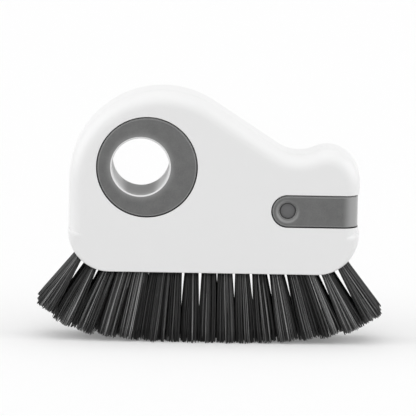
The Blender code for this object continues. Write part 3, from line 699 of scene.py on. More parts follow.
def block_form(name, grow, outside, half):
    """The bristle block, bent round the foot's bottom and corners, grown by a clearance."""
    body = settings("body")
    left, right = foot_corners()
    thick = BLOCK_THICKNESS + grow
    end = BLOCK_END_TURN + grow / (body.foot_corner - thick / 2)
    outer, inner = body.foot_corner + outside, body.foot_corner - thick
    start_x, start_z = polar(left, outer, 1.5 * math.pi - end)
    pen_down(name, start_x, -half, start_z)
    pen_arc(*left, end)
    pen_to(right[0], right[1] - outer)
    pen_arc(*right, end)
    pen_to(*polar(right, inner, end - math.pi / 2))
    pen_arc(*right, -end)
    pen_to(left[0], left[1] - inner)
    pen_arc(*left, -end)
    return draw_out(y=2 * half)


def pin_places():
    """Where the locating pins stand (x, z)."""
    body = settings("body")
    dome = dome_place()
    return [
        (dome[0] - body.dome + 8.2 * MM, body.ledge + 7.2 * MM),
        polar(dome, body.dome - 10.6 * MM, math.radians(35)),
        nub_place(),
        (BODY_X - 4 * MM, body.ledge + 1.2 * MM),
    ]


def screw_places():
    """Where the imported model's screws stand (x, z)."""
    boxes = [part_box(name) for name in SCREWS]
    return [((low.x + high.x) / 2, (low.z + high.z) / 2) for low, high in boxes]


def body_hollow():
    """The room inside both shells, round the walls and posts that stand in it."""
    body, grip, push = settings("body"), settings("grip"), settings("button")
    hollow = upper_body("hollow", body.wall, BODY_HALF - body.wall, body.edge - body.wall, 4)
    floor = inlay_floor() + body.inner_wall
    grown = grip.gap + body.inner_wall
    ring, guide = RING_RADIUS + grown, FLANGE_RADIUS + push.gap + body.inner_wall
    walls = [
        rod("ring_wall", RING_X, RING_Z, ring, side * (BODY_HALF - floor), side * PAST_FACE) for side in SIDES
    ]
    walls.append(rod("sleeve_wall", *bore_place(), sleeve_radius() + grown, -PAST_FACE, PAST_FACE))
    walls.append(band_solid("band_wall", body.wall / 2, floor, BAND_RADIUS + grown))
    walls.append(rod("guide_wall", BAND_X, BAND_Z, guide, -PAST_FACE, PAST_FACE, 48))
    for place in screw_places():
        walls.append(rod("screw_post", *place, SCREW_POST, -PAST_FACE, PAST_FACE, 48))
    for place in pin_places():
        walls.append(rod("pin_post", *place, body.pin + PIN_WALL, -PAST_FACE, PAST_FACE, 32))
    return cut(hollow, *walls)


def foot_hollows():
    """The room inside the foot, and the window in its bottom that the bristle block fills."""
    body = settings("body")
    room = foot("foot_room", body.wall, body.ledge - body.wall, BODY_HALF - body.wall - 0.01 * MM)
    window = block_form("window", body.rim, body.wall, BODY_HALF - body.wall)
    for solid in (room, window):
        cut(solid, rail("rail", -1), rail("rail", 1))
    return [room, window]


def recesses(side):
    """Cutters for what lies in a shell or passes through it."""
    body, grip, push = settings("body"), settings("grip"), settings("button")
    floor = BODY_HALF - inlay_floor()
    guide = floor - body.inner_wall
    cutters = [
        rod("ring_recess", RING_X, RING_Z, RING_RADIUS + grip.gap, side * floor, side * PAST_FACE, 160),
        rod("sleeve_hole", *bore_place(), sleeve_radius() + grip.gap, -PAST_FACE, PAST_FACE),
        band_solid("band_recess", -MM, inlay_floor(), BAND_RADIUS + grip.gap),
        rod("button_hole", BAND_X, BAND_Z, push.radius + push.gap, -PAST_FACE, PAST_FACE, 64),
        rod("guide_bore", BAND_X, BAND_Z, FLANGE_RADIUS + push.gap, -guide, guide, 64),
    ]
    for place in screw_places():
        cutters.append(rod("screw_hole", *place, SCREW_HOLE, -PAST_FACE, BODY_HALF / 2, 32))
        if side < 0:
            cutters.append(rod("screw_seat", *place, SCREW_SEAT, -PAST_FACE, -floor + 2 * MM, 48))
    if side > 0:
        for place in pin_places():
            cutters.append(rod("pin_socket", *place, body.pin + body.rim, -BODY_HALF, 0.0, 32))
    return cutters


class ShellsOperator(bpy.types.Operator):
    """Models the two white shells, hollow, with their recesses, walls, posts and pins"""

    bl_idname = "brush.shells"
    bl_label = "White Shells"

    def execute(self, context):
        body, grip = settings("body"), settings("grip")
        outer, hollow = outer_body(), body_hollow()
        rooms = foot_hollows()
        made = white_plastic()
        ring, band, joint_edge = RING_RADIUS + grip.gap, BAND_RADIUS + grip.gap, 0.2 * MM
        for side, name, parting in zip(SIDES, SHELLS, (REAR_EDGE_Y - body.parting, REAR_EDGE_Y)):
            solid = keep_side(copy_of(outer), parting, side)
            bevel(solid, joint_edge, 2, lambda e: on_level(e, 1, parting) and is_sharp(e))
            cut(solid, copy_of(hollow), *[copy_of(room) for room in rooms], *recesses(side))
            face = side * BODY_HALF
            bevel(solid, body.rim, 2, lambda e: on_level(e, 1, face) and on_circle(e, RING_X, RING_Z, ring))
            bevel(solid, body.rim, 2, lambda e: on_band_rim(e, band))
            if side < 0:
                pins = [rod("pin", *place, body.pin, parting - MM, -0.8 * MM, 32) for place in pin_places()]
                combine(solid, "UNION", *pins)
            place_piece(smooth(solid), name + "_skin", "brush_body", "white_shell", made, name)
        for solid in (outer, hollow, *rooms):
            bpy.data.objects.remove(solid)
        return {"FINISHED"}


class FingerRingOperator(bpy.types.Operator):
    """Models the grey finger ring: two flanges on a sleeve, whose bore lies off their centre"""

    bl_idname = "brush.finger_ring"
    bl_label = "Finger Ring"

    def execute(self, context):
        grip = settings("grip")
        bore = bore_place()
        ring = rod("ring_grip", RING_X, RING_Z, RING_RADIUS, -BODY_HALF, -BODY_HALF + grip.thickness, 160)
        back = rod("back_flange", RING_X, RING_Z, RING_RADIUS, BODY_HALF - grip.thickness, BODY_HALF, 160)
        reach = BODY_HALF - grip.thickness / 2
        combine(ring, "UNION", rod("sleeve", *bore, sleeve_radius(), -reach, reach), back)
        cut(ring, rod("bore", *bore, grip.bore, -2 * BODY_HALF, 2 * BODY_HALF, 128))
        for place, radius, rounding, segments in (
            ((RING_X, RING_Z), RING_RADIUS, grip.rim, 3),
            (bore, grip.bore, grip.bore_rim, 6),
        ):
            bevel(ring, rounding, segments, lambda e: on_face(e, BODY_HALF) and on_circle(e, *place, radius))
        place_piece(smooth(ring), "finger_ring", "brush_body", "grey_grip", ring_finish(), "ring_grip")
        return {"FINISHED"}


class EndBandOperator(bpy.types.Operator):
    """Models the grey band round the right-hand end, with a dish round each button"""

    bl_idname = "brush.end_band"
    bl_label = "End Band"

    def execute(self, context):
        grip, push = settings("grip"), settings("button")
        band = band_solid("end_band", 0.0, grip.thickness, BAND_RADIUS)
        bevel(band, grip.rim, 3, lambda e: on_band_rim(e, BAND_RADIUS))
        wide, hole = grip.dimple + 0.2 * MM, push.radius + push.gap
        steps, belly = 8, 0.35
        for side in SIDES:
            above, below = side * (BODY_HALF + 0.3 * MM), side * (BODY_HALF - grip.thickness - MM)
            dish = [(0.0, above), (wide, above)]
            for share in [i / steps for i in range(steps + 1)]:
                depth = grip.dimple_depth * (share - belly * math.sin(math.pi * share) * (1 - share))
                dish.append((wide - (wide - hole) * share, side * (BODY_HALF - depth)))
            cut(band, turned("dish", BAND_X, BAND_Z, [*dish, (hole, below), (0.0, below)]))
        place_piece(smooth(band), "end_band_cover", "brush_body", "grey_grip", band_finish(), "end_band")
        return {"FINISHED"}


class ButtonsOperator(bpy.types.Operator):
    """Models the two push buttons: a domed nose, a flange that keeps it in, and a stem"""

    bl_idname = "brush.buttons"
    bl_label = "Push Buttons"

    def execute(self, context):
        push = settings("button")
        nose, stem_end = -BUTTON_LOW.y, -BUTTON_HIGH.y
        flange_back = stem_end + FLANGE_PLACE
        flange = flange_back + FLANGE_THICKNESS
        rim_y, flat, chamfer = nose - push.dome, push.radius - push.rim, 0.2 * MM
        profile = [(flat * share, nose - push.dome * share**2) for share in [i / 7 for i in range(8)]]
        for i in range(1, 5):
            cosine, sine = direction(math.pi / 2 * (1 - i / 4))
            profile.append((flat + push.rim * cosine, rim_y - push.rim * (1 - sine)))
        profile += [(push.radius, flange), (FLANGE_RADIUS - chamfer, flange)]
        profile += [(FLANGE_RADIUS, flange - chamfer), (FLANGE_RADIUS, flange_back)]
        profile += [(STEM_RADIUS, flange_back), (STEM_RADIUS, stem_end + chamfer)]
        profile += [(STEM_RADIUS - chamfer, stem_end), (0.0, stem_end)]
        for side, body, node in zip(SIDES, ("front_button", "rear_button"), BUTTONS):
            placed = [(radius, side * y) for radius, y in profile]
            solid = smooth(turned(node, BAND_X, BAND_Z, placed, 64))
            place_piece(solid, node + "_cap", body, "dark_button", moulded("satin_button"), node)
        return {"FINISHED"}


# The fan of bristles
def column_frame(index):
    """A column's root (x, z) on the foot, the angle of its normal, its lean and its length."""
    body, bristle = settings("body"), settings("bristle")
    last = (len(BRISTLE_ROWS) - 1) / 2
    flat = FOOT_HALF_LENGTH - body.foot_corner
    pitch = (flat + body.foot_corner * bristle.fan_end) / last
    run = (index - last) * pitch
    side = math.copysign(1.0, run)
    flat_end = BODY_X + side * flat
    normal = side * max(0.0, abs(run) - abs(flat_end)) / body.foot_corner
    root = (run, FOOT_BOTTOM)
    if normal:
        cosine, sine = direction(normal - math.pi / 2)
        root = (flat_end + body.foot_corner * cosine, FOOT_BOTTOM + body.foot_corner * (1 + sine))
    share = abs(index - last) / last
    lean = side * bristle.lean * share**bristle.lean_power
    return root, normal, lean, bristle.length * (1 - bristle.end_share * share * share)


def column_point(index, share):
    """A point (x, z) on a column's axis, at a share of its length."""
    root, _normal, lean, full = column_frame(index)
    return root[0] + full * share * math.sin(lean), root[1] - full * share * math.cos(lean)


def column_reach(index, side, share):
    """How far a column reaches to one side (-1 or 1) of its axis: up to the slit, until that closes."""
    bristle = settings("bristle")
    slit = min(index, index + side)
    if not 0 <= slit < len(SLITS):
        root = bristle.left_root if side < 0 else bristle.right_root
        return root + (bristle.outer_tip - root) * share
    x, z = column_point(index, share)
    next_x, next_z = column_point(index + side, share)
    width, end = SLITS[slit]
    gap = bristle.slit * width * MM * np.maximum(0.0, 1 - share / end)
    return (np.hypot(next_x - x, next_z - z) - gap) / 2


def tuft_levels():
    """The Y of each tuft of a column, from front to back."""
    pitch = settings("bristle").tuft_pitch
    return (-pitch, 0.0, pitch)


class BristleBlockOperator(bpy.types.Operator):
    """Models the block that carries the bristles, with a round hole for each tuft"""

    bl_idname = "brush.bristle_block"
    bl_label = "Bristle Block"

    def execute(self, context):
        bristle = settings("bristle")
        block = block_form("bristle_block", 0.0, 0.0, BLOCK_HALF_WIDTH)
        cut(block, *[rail("groove", side, RAIL_CLEARANCE) for side in SIDES])
        holes = []
        for index in range(len(BRISTLE_ROWS)):
            (x, z), normal, _lean, _length = column_frame(index)
            for y in tuft_levels():
                deselect_all()
                bpy.ops.mesh.primitive_cylinder_add(
                    vertices=24,
                    radius=bristle.root + 0.1 * MM,
                    depth=2 * bristle.depth + 2 * MM,
                    location=(x, y, z),
                    rotation=(0, -normal, 0),
                )
                holes.append(bpy.context.active_object)
        deselect_all()
        for hole in holes:
            hole.select_set(True)
        bpy.context.view_layer.objects.active = holes[0]
        bpy.ops.object.transform_apply(location=True, rotation=True, scale=True)
        bpy.ops.object.join()
        cut(block, bpy.context.active_object)
        made = moulded("block_plastic")
        place_piece(smooth(block), "bristle_holder", "brush_body", "block", made, "bristle_block")
        return {"FINISHED"}


def filament(thickness, parts=6):
    """One straight filament of unit length, standing on the origin, with a narrower tip."""
    deselect_all()
    bpy.ops.mesh.primitive_circle_add(vertices=4, radius=thickness / 2, fill_type="NGON")
    bpy.ops.object.mode_set(mode="EDIT")
    for _part in range(parts):
        bpy.ops.mesh.extrude_region_move(TRANSFORM_OT_translate={"value": (0, 0, 1 / parts)})
    bpy.ops.transform.resize(value=(0.55, 0.55, 1.0))
    return finish_solid()


def tuft_hairs(dice):
    """The filaments of one tuft: place (u, v) in it, how each strays, bows and falls short, and its tone."""
    bristle = settings("bristle")
    clump_count = 9
    clumps = [
        (dice.uniform(-1, 1), dice.uniform(-1, 1), dice.gauss(0, 0.05), dice.gauss(0, 0.10), dice.random())
        for _ in range(clump_count)
    ]
    hairs = []
    for _ in range(bristle.filaments):
        reach, turn = math.sqrt(dice.random()), dice.uniform(0, 2 * math.pi)
        u, v = reach * math.cos(turn), reach * math.sin(turn)
        clump = min(clumps, key=lambda c: (c[0] - u) ** 2 + (c[1] - v) ** 2)
        stray_u = dice.gauss(0, 0.035) + clump[2] + 0.1 * (clump[0] - u)
        stray_v = dice.gauss(0, 0.10) + clump[3] + 0.12 * (clump[1] - v)
        bow = dice.gauss(0, 0.12) * MM
        short = abs(dice.gauss(0, 0.4)) * bristle.ragged
        # The tone varies at random, and is painted darker towards the column's sides as shade in the slits
        # between the columns.
        tone = (0.3 * clump[4] + 0.7 * dice.random()) * (1 - 0.5 * abs(u) ** 3)
        hairs.append((u, v, stray_u, stray_v, bow, short, tone))
    return hairs


class BristlesOperator(bpy.types.Operator):
    """Models the bristles: three tufts of fine filaments in each column, trimmed at the floor"""

    bl_idname = "brush.bristles"
    bl_label = "Bristles"

    def execute(self, context):
        bristle = settings("bristle")
        strand = filament(bristle.thickness)
        unit = np.array([v.co for v in strand.data.vertices])
        faces = [tuple(p.vertices) for p in strand.data.polygons]
        bpy.data.objects.remove(strand)
        made = black_nylon()
        for index, node in enumerate(BRISTLE_ROWS):
            grow_column(index, node, unit, faces, made)
        return {"FINISHED"}


def grow_column(index, node, unit, faces, made):
    """Copies the filament along each of a column's hairs and joins the copies to one piece."""
    bristle = settings("bristle")
    dice = random.Random(bristle.seed * 100 + index)
    (root_x, root_z), _normal, lean, full = column_frame(index)
    share, which = np.unique(unit[:, 2], return_inverse=True)
    reach = {side: column_reach(index, side, share) for side in SIDES}
    hairs = [(y, *hair) for y in tuft_levels() for hair in tuft_hairs(dice)]
    edge = 0.25 * MM  # how far the filaments stay inside the body's faces
    points, tones = [], []
    for y, u, v, stray_u, stray_v, bow, short, tone in hairs:
        place = np.clip(u + stray_u * share, -1.05, 1.05)
        off_u = np.where(place < 0, reach[-1], reach[1]) * place + bow * share * (1 - share)
        off_v = (bristle.root + MM * share) * (v + stray_v * share)
        along = (full - short + bristle.depth) * share - bristle.depth
        x = root_x + along * math.sin(lean) + off_u * math.cos(lean)
        z = root_z - along * math.cos(lean) + off_u * math.sin(lean)
        row = y * (1 + (bristle.row_flare - 1) * share) + off_v
        row = np.clip(row, edge - BODY_HALF, BODY_HALF - edge)
        floor = abs(dice.gauss(0, 0.2)) * MM
        if z[-1] < floor:
            z = z[0] - (z[0] - z) * (z[0] - floor) / (z[0] - z[-1])
        path = np.stack([x, row, z], axis=1)[which]
        # The filament grows downwards, so its section is turned over, which keeps its faces outward.
        across = np.array([math.cos(lean), 0.0, math.sin(lean)])
        points.append(path + np.outer(unit[:, 0], across) + np.outer(unit[:, 1], (0.0, -1.0, 0.0)))
        tones.append(np.full(len(unit), tone))
    points = np.concatenate(points)
    points[:, 0] = np.clip(points[:, 0], CAD_BOX[0][0], CAD_BOX[1][0])
    points[:, 2] = np.maximum(points[:, 2], 0.0)
    all_faces = [tuple(i + len(unit) * k for i in face) for k in range(len(hairs)) for face in faces]
    mesh = bpy.data.meshes.new("bristles")
    mesh.from_pydata(points.tolist(), [], all_faces)
    mesh.attributes.new("tone", "FLOAT", "POINT").data.foreach_set("value", np.concatenate(tones))
    mesh.shade_smooth()
    tufts = add_object("bristles", mesh)
    place_piece(tufts, node.replace("row", "tufts"), "brush_body", "bristle", made, node)


class SpringOperator(bpy.types.Operator):
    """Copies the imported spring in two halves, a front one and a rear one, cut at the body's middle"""

    bl_idname = "brush.spring"
    bl_label = "Spring"

    def execute(self, context):
        for side, name in zip(SIDES, ("front", "rear")):
            half = add_object("spring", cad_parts["button_spring"].data.copy())
            select_only(half)
            bpy.ops.object.mode_set(mode="EDIT")
            bpy.ops.mesh.select_all(action="SELECT")
            bpy.ops.mesh.remove_doubles(threshold=MM / 1000)
            bpy.ops.object.mode_set(mode="OBJECT")
            smooth(keep_side(half, 0.0, side))
            made = moulded("plated_steel")
            place_piece(half, "spring_" + name, "brush_body", "steel", made, "button_spring")
            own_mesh(half)
        return {"FINISHED"}


class ScrewsOperator(bpy.types.Operator):
    """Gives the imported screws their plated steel"""

    bl_idname = "brush.screws"
    bl_label = "Screws"

    def execute(self, context):
        for name in SCREWS:
            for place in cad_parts[name].material_slots:
                place.material = moulded("plated_steel")
        return {"FINISHED"}


# Materials
# Moulded and plated finishes: colour, roughness, the sizes of the patches and the specks in millimetres, how
# strongly they show, the grain's strength and its height in millimetres, metal and sheen
FINISHES = {
    "satin_white": ("shell", 0.3, 9, 0.35, 0.03, 0.06, 0.05, 0.0, 0.0),
    "soft_grip": ("grip", 0.35, 4, 0.55, 0.95, 0.2, 0.03, 0.0, 0.8),
    "satin_button": ("button", 0.5, 2, 0.3, 0.15, 0.1, 0.05, 0.0, 0.0),
    "block_plastic": ("block", 0.5, 6, 0.4, 0.05, 0.1, 0.05, 0.0, 0.0),
    "plated_steel": ("steel", 0.3, 2, 0.2, 0.1, 0.05, 0.02, 1.0, 0.0),
}
RIM_HIGHLIGHT_SHARE = 0.4  # how far the outer rims of the grey pieces go over to their painted highlight


def feed(tree, socket, value):
    """Gives a socket a plain value, or links another socket to it."""
    if isinstance(value, bpy.types.NodeSocket):
        tree.links.new(value, socket)
    else:
        socket.default_value = value


def add_node(tree, kind, inputs):
    """A node with plain values or other sockets as its inputs."""
    node = tree.nodes.new(kind)
    for label, value in inputs.items():
        feed(tree, node.inputs[label], value)
    return node


def noise(tree, scale, detail=3.0):
    """A noise on object coordinates."""
    place = tree.nodes.new("ShaderNodeTexCoord").outputs["Object"]
    inputs = {"Vector": place, "Scale": scale, "Detail": detail}
    return add_node(tree, "ShaderNodeTexNoise", inputs).outputs["Fac"]


def math_node(tree, operation, first, second=0.0):
    """A math node on two numbers or sockets."""
    node = add_node(tree, "ShaderNodeMath", {0: first, 1: second})
    node.operation = operation
    return node.outputs[0]


def times(tree, first, second):
    return math_node(tree, "MULTIPLY", first, second)


def plus(tree, first, second):
    return math_node(tree, "ADD", first, second)


def distance(tree, across, up):
    """How far a point lies from an axis along Y, from its two offsets."""
    return math_node(tree, "SQRT", plus(tree, times(tree, across, across), times(tree, up, up)))


def ramp_node(tree, value, start, end, kind="SMOOTHSTEP"):
    """Goes from 0 to 1 as a value goes from start to end."""
    node = add_node(tree, "ShaderNodeMapRange", {"Value": value, "From Min": start, "From Max": end})
    node.interpolation_type = kind
    return node.outputs[0]


def fill_mottle(group, given):
    """Soft patches and fine specks that vary a moulded colour and its roughness."""
    patches, specks = noise(group, given["Patches"]), noise(group, given["Specks"], 2.0)
    both = plus(group, times(group, patches, 0.5), times(group, specks, 0.5))
    factor = plus(group, times(group, plus(group, both, -0.5), given["Depth"]), 1.0)
    scaled = group.nodes.new("ShaderNodeVectorMath")
    scaled.operation = "SCALE"
    group.links.new(given["Colour"], scaled.inputs[0])
    group.links.new(factor, scaled.inputs["Scale"])
    return {"Colour": scaled.outputs[0], "Roughness": times(group, given["Roughness"], factor), "Height": both}


def fill_axis_distance(group, given):
    """Distance from an axis along Y, and from a bar that runs from that axis to the right."""
    place = group.nodes.new("ShaderNodeTexCoord").outputs["Object"]
    parts = add_node(group, "ShaderNodeSeparateXYZ", {0: place}).outputs
    across = math_node(group, "SUBTRACT", parts["X"], given["X"])
    up = math_node(group, "SUBTRACT", parts["Z"], given["Z"])
    bar = distance(group, math_node(group, "MINIMUM", across, 0.0), up)
    return {"Across": across, "Up": up, "Distance": distance(group, across, up), "Bar Distance": bar}


def fill_rim_line(group, given):
    """1 along the rounded rim of a grey piece whose outline lies a radius away, and 0 elsewhere."""
    depth = math_node(group, "SUBTRACT", given["Radius"], given["Away"])
    outer, inner = ramp_node(group, depth, 0.05 * MM, 0.25 * MM), ramp_node(group, depth, 0.7 * MM, 0.4 * MM)
    return {"Line": times(group, outer, inner)}


# What the materials share: how each group is filled, its inputs and its outputs
SHARED_GROUPS = {
    "soft mottle": (
        fill_mottle,
        {"Colour": (0.5, 0.5, 0.5, 1.0), "Roughness": 0.5, "Patches": 200.0, "Specks": 2500.0, "Depth": 0.05},
        ("Colour", "Roughness", "Height"),
    ),
    "axis distance": (
        fill_axis_distance,
        {"X": 0.0, "Z": 0.0},
        ("Across", "Up", "Distance", "Bar Distance"),
    ),
    "rim line": (fill_rim_line, {"Away": 0.0, "Radius": 0.01}, ("Line",)),
}


def new_group(name):
    """Builds one of the shared groups, with named sockets."""
    fill, inputs, outputs = SHARED_GROUPS[name]
    group = bpy.data.node_groups.new(name, "ShaderNodeTree")
    for way, labels in (("INPUT", inputs), ("OUTPUT", outputs)):
        for label in labels:
            kind = "NodeSocketColor" if label == "Colour" else "NodeSocketFloat"
            socket = group.interface.new_socket(name=label, in_out=way, socket_type=kind)
            if way == "INPUT":
                socket.default_value = inputs[label]
    start, end = group.nodes.new("NodeGroupInput"), group.nodes.new("NodeGroupOutput")
    for label, value in fill(group, start.outputs).items():
        group.links.new(value, end.inputs[label])
    return group


def group_node(tree, name, inputs):
    """The outputs of a shared group, which is built when it is first wanted."""
    node = tree.nodes.new("ShaderNodeGroup")
    node.node_tree = bpy.data.node_groups.get(name) or new_group(name)
    for label, value in inputs.items():
        feed(tree, node.inputs[label], value)
    return node.outputs


def around(tree, x, z):
    """How a point lies from the axis along Y through (x, z)."""
    return group_node(tree, "axis distance", {"X": x, "Z": z})


def new_material(name):
    """A material, its node tree and the inputs of its shader."""
    made = bpy.data.materials.new(name)
    made.use_nodes = True
    return made, made.node_tree, made.node_tree.nodes["Principled BSDF"].inputs


def moulded(name):
    """A moulded or plated finish: mottled colour and roughness, with a fine grain as bump."""
    if name in bpy.data.materials:
        return bpy.data.materials[name]
    base, roughness, patches, specks, depth, bump, grain, metallic, sheen = FINISHES[name]
    made, tree, shader = new_material(name)
    shader["Metallic"].default_value = metallic
    shader["Sheen Weight"].default_value = sheen
    shader["Sheen Roughness"].default_value = 0.4
    inputs = {
        "Colour": (*getattr(settings("colour"), base), 1.0),
        "Roughness": roughness,
        "Patches": 1 / (patches * MM),
        "Specks": 1 / (specks * MM),
        "Depth": depth,
    }
    mottled = group_node(tree, "soft mottle", inputs)
    bumps = {"Strength": bump, "Distance": grain * MM, "Height": mottled["Height"]}
    feed(tree, shader["Base Color"], mottled["Colour"])
    feed(tree, shader["Roughness"], mottled["Roughness"])
    feed(tree, shader["Normal"], add_node(tree, "ShaderNodeBump", bumps).outputs["Normal"])
    return made


def blend_in(made, share, label, value):
    """Blends a shader's colour or roughness over to another value, by a share."""
    tree = made.node_tree
    socket = tree.nodes["Principled BSDF"].inputs[label]
    mix = tree.nodes.new("ShaderNodeMix")
    if label == "Base Color":
        mix.data_type = "RGBA"
        value = (*value, 1.0)
    mix.inputs["B"].default_value = value
    tree.links.new(share, mix.inputs["Factor"])
    tree.links.new(socket.links[0].from_socket, mix.inputs["A"])
    tree.links.new(mix.outputs["Result"], socket)


def white_plastic():
    """The shells' finish, with painted shade that darkens it in the narrow joints round the grey pieces."""
    made = moulded("satin_white")
    tree = made.node_tree
    gap = settings("grip").gap + 0.04 * MM
    ring_away = around(tree, RING_X, RING_Z)["Distance"]
    band_away = around(tree, BAND_X, BAND_Z)["Bar Distance"]
    in_ring = math_node(tree, "LESS_THAN", ring_away, RING_RADIUS + gap)
    in_band = math_node(tree, "LESS_THAN", band_away, BAND_RADIUS + gap)
    in_joint = math_node(tree, "MAXIMUM", in_ring, in_band)
    # Painted shade in the narrow joints round the grey pieces.
    blend_in(made, in_joint, "Base Color", settings("colour").joint)
    return made


def rimmed_grip(name, x, z, measure, radius):
    """The grip's finish with a painted highlight along its outer rim, and its node tree."""
    made = moulded("soft_grip").copy()
    made.name = name
    tree = made.node_tree
    away = around(tree, x, z)[measure]
    line = group_node(tree, "rim line", {"Away": away, "Radius": radius})["Line"]
    # Painted highlight along the rounded outer rim.
    blend_in(made, times(tree, line, RIM_HIGHLIGHT_SHARE), "Base Color", settings("colour").painted_grip_sheen)
    return made, tree


def ring_finish():
    """The grip's finish, with painted light: paler as painted reflection on the bore's sides, as painted
    highlight on its rims, in a halo round it and along the outer rim, and darker as painted shade on its top
    and bottom.
    """
    grip, colours = settings("grip"), settings("colour")
    made, tree = rimmed_grip("soft_ring", RING_X, RING_Z, "Distance", RING_RADIUS)
    place = around(tree, *bore_place())
    away = place["Distance"]
    edge = grip.bore + grip.bore_rim
    # Painted highlight: a pale halo round the bore's mouth.
    halo_width, halo_share = 3 * MM, 0.2
    near = ramp_node(tree, away, edge + halo_width, edge - 0.3 * MM, "LINEAR")
    blend_in(made, times(tree, times(tree, near, near), halo_share), "Base Color", colours.painted_grip_highlight)
    wall, rim = grip.bore + 0.02 * MM, grip.bore + 0.15 * MM
    on_wall = ramp_node(tree, away, rim, wall)
    # Painted shade: the bore's wall turns darker grey; the painted reflection below makes its sides pale
    # again, so the shade stays on its top and bottom.
    blend_in(made, on_wall, "Base Color", colours.painted_bore_shade)
    # Painted reflection on the bore's sides and painted highlight on its rims.
    on_rim = ramp_node(tree, away, wall, rim)
    across = math_node(tree, "ABSOLUTE", place["Across"])
    aside = ramp_node(tree, across, 0.4 * grip.bore, 0.8 * grip.bore)
    inside = ramp_node(tree, away, edge + 0.04 * MM, edge - 0.1 * MM)
    pale = times(tree, math_node(tree, "MAXIMUM", on_rim, aside), inside)
    blend_in(made, pale, "Base Color", colours.painted_grip_highlight)
    blend_in(made, on_wall, "Roughness", 0.6)
    return made


def band_finish():
    """The grip's finish with painted light: paler as painted sheen where the band turns round the end, and as
    painted highlight on its rims and round the dishes.
    """
    grip, colours = settings("grip"), settings("colour")
    made, tree = rimmed_grip("soft_band", BAND_X, BAND_Z, "Bar Distance", BAND_RADIUS)
    from_end = around(tree, BAND_END, BAND_Z)["Across"]
    # Painted sheen: paler where the band turns round the end.
    blend_in(made, ramp_node(tree, from_end, -6.8 * MM, -2.4 * MM), "Base Color", colours.painted_grip_sheen)
    place = around(tree, BAND_X, BAND_Z)
    away = place["Distance"]
    inner = ramp_node(tree, away, grip.dimple - 1.5 * MM, grip.dimple - 0.6 * MM)
    outer = ramp_node(tree, away, grip.dimple + 0.3 * MM, grip.dimple - 0.4 * MM)
    # Painted highlight: the dish is paler towards the lower left.
    slope, middle = 0.09 / grip.dimple, 0.13
    aslant = plus(tree, times(tree, place["Across"], -0.8), times(tree, place["Up"], -0.6))
    share = plus(tree, times(tree, aslant, slope), middle)
    blend_in(made, times(tree, times(tree, inner, outer), share), "Base Color", colours.painted_grip_highlight)
    return made


def black_nylon():
    """Black nylon: each filament has its own tone, which sets its colour and its gloss. The palest tones are
    painted glints, and the darker tones at a column's sides are painted shade.
    """
    colours = settings("colour")
    made, tree, shader = new_material("black_nylon")
    attribute = tree.nodes.new("ShaderNodeAttribute")
    attribute.attribute_name = "tone"
    tone = attribute.outputs["Fac"]
    # Painted highlight: the palest tones stand in for glints on the nylon.
    mix = tree.nodes.new("ShaderNodeMix")
    mix.data_type = "RGBA"
    mix.inputs["A"].default_value = (*colours.bristle, 1.0)
    mix.inputs["B"].default_value = (*colours.painted_bristle_glint, 1.0)
    feed(tree, mix.inputs["Factor"], math_node(tree, "POWER", tone, 4.0))
    feed(tree, shader["Base Color"], mix.outputs["Result"])
    feed(tree, shader["Roughness"], plus(tree, times(tree, tone, -0.15), 0.45))
    return made


# The stage
def seen_or_mirrored(tree):
    """1 where the camera, a reflection or clear plastic looks, and 0 for the light itself."""
    path = tree.nodes.new("ShaderNodeLightPath")
    first = math_node(tree, "MAXIMUM", path.outputs["Is Camera Ray"], path.outputs["Is Glossy Ray"])
    return math_node(tree, "MAXIMUM", first, path.outputs["Is Transmission Ray"])


def place_camera(stage):
    """The camera, turned as the photograph's."""
    data = bpy.data.cameras.new("camera")
    data.angle = 2 * math.atan(stage.field / 2 / stage.distance)
    camera = add_object("camera", data)
    cosine, sine = direction(stage.elevation)
    place = Vector((stage.target_x, -stage.distance * cosine, stage.target_z + stage.distance * sine))
    turn = Matrix.Rotation(math.pi / 2 - stage.elevation, 4, "X") @ Matrix.Rotation(stage.roll, 4, "Z")
    camera.matrix_world = Matrix.Translation(place) @ turn
    bpy.context.scene.camera = camera


def place_sun(name, strength, width, tilt, turn):
    """A soft, wide light that shines down, tilted to the viewer's side and turned about the upright."""
    data = bpy.data.lights.new(name, "SUN")
    data.energy = strength
    data.angle = math.radians(width)
    turns = Matrix.Rotation(math.radians(turn), 4, "Z") @ Matrix.Rotation(math.radians(tilt), 4, "X")
    add_object(name, data).matrix_world = turns


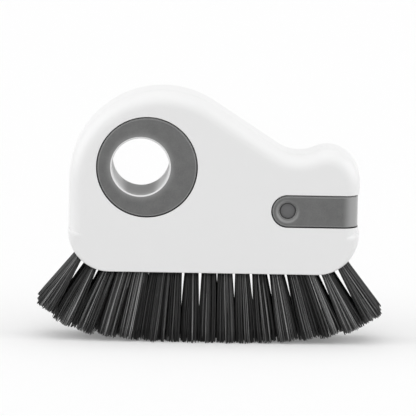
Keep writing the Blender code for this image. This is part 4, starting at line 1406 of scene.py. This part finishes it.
class StageOperator(bpy.types.Operator):
    """Sets the camera, the floor, the lights and the world"""

    bl_idname = "brush.stage"
    bl_label = "Stage"

    def execute(self, context):
        stage = settings("stage")
        place_camera(stage)
        deselect_all()
        bpy.ops.mesh.primitive_plane_add(size=12.0)
        floor = bpy.context.active_object
        floor.name = "floor"
        white = (1.0, 1.0, 1.0, 1.0)
        made, tree, shader = new_material("pale_floor")
        shader["Base Color"].default_value = (*settings("colour").floor, 1.0)
        shader["Roughness"].default_value = 1.0
        shader["Specular IOR Level"].default_value = 0.0
        shader["Emission Color"].default_value = white
        feed(tree, shader["Emission Strength"], times(tree, seen_or_mirrored(tree), stage.floor_glow))
        floor.data.materials.append(made)
        world = bpy.data.worlds.new("white_room")
        world.use_nodes = True
        tree = world.node_tree
        back = tree.nodes["Background"].inputs
        back["Color"].default_value = white
        extra = times(tree, seen_or_mirrored(tree), stage.backdrop - stage.sky)
        feed(tree, back["Strength"], plus(tree, extra, stage.sky))
        bpy.context.scene.world = world
        for name, strength, width, tilt, turn in (
            ("overhead_light", stage.overhead, 70, 25, -15),
            ("left_light", stage.side, 60, 70, -80),
            ("right_light", stage.side, 60, 70, 80),
        ):
            place_sun(name, strength, width, tilt, turn)
        bpy.context.scene.view_settings.view_transform = "Standard"
        return {"FINISHED"}


class BrushPanel(bpy.types.Panel):
    """Lists the pieces, in the order in which they are made"""

    bl_idname = "VIEW3D_PT_groove_brush"
    bl_label = "Groove Brush"
    bl_space_type = "VIEW_3D"
    bl_region_type = "UI"
    bl_category = "Groove Brush"

    def draw(self, context):
        for operator in OPERATORS:
            self.layout.operator(operator.bl_idname)
        for name, group in PROPERTY_GROUPS.items():
            box = self.layout.box()
            for prop in group.__annotations__:
                box.prop(getattr(context.scene, name), prop)


OPERATORS = (
    ShellsOperator,
    FingerRingOperator,
    EndBandOperator,
    ButtonsOperator,
    BristleBlockOperator,
    BristlesOperator,
    SpringOperator,
    ScrewsOperator,
    StageOperator,
)


def register():
    for name, group in PROPERTY_GROUPS.items():
        bpy.utils.register_class(group)
        setattr(bpy.types.Scene, name, PointerProperty(type=group))
    for part in (*OPERATORS, BrushPanel):
        bpy.utils.register_class(part)


def unregister():
    for part in (BrushPanel, *reversed(OPERATORS)):
        bpy.utils.unregister_class(part)
    for name, group in reversed(PROPERTY_GROUPS.items()):
        delattr(bpy.types.Scene, name)
        bpy.utils.unregister_class(group)


def main():
    register()
    for operator in OPERATORS:
        family, name = operator.bl_idname.split(".")
        getattr(getattr(bpy.ops, family), name)()


if __name__ == "__main__":
    main()
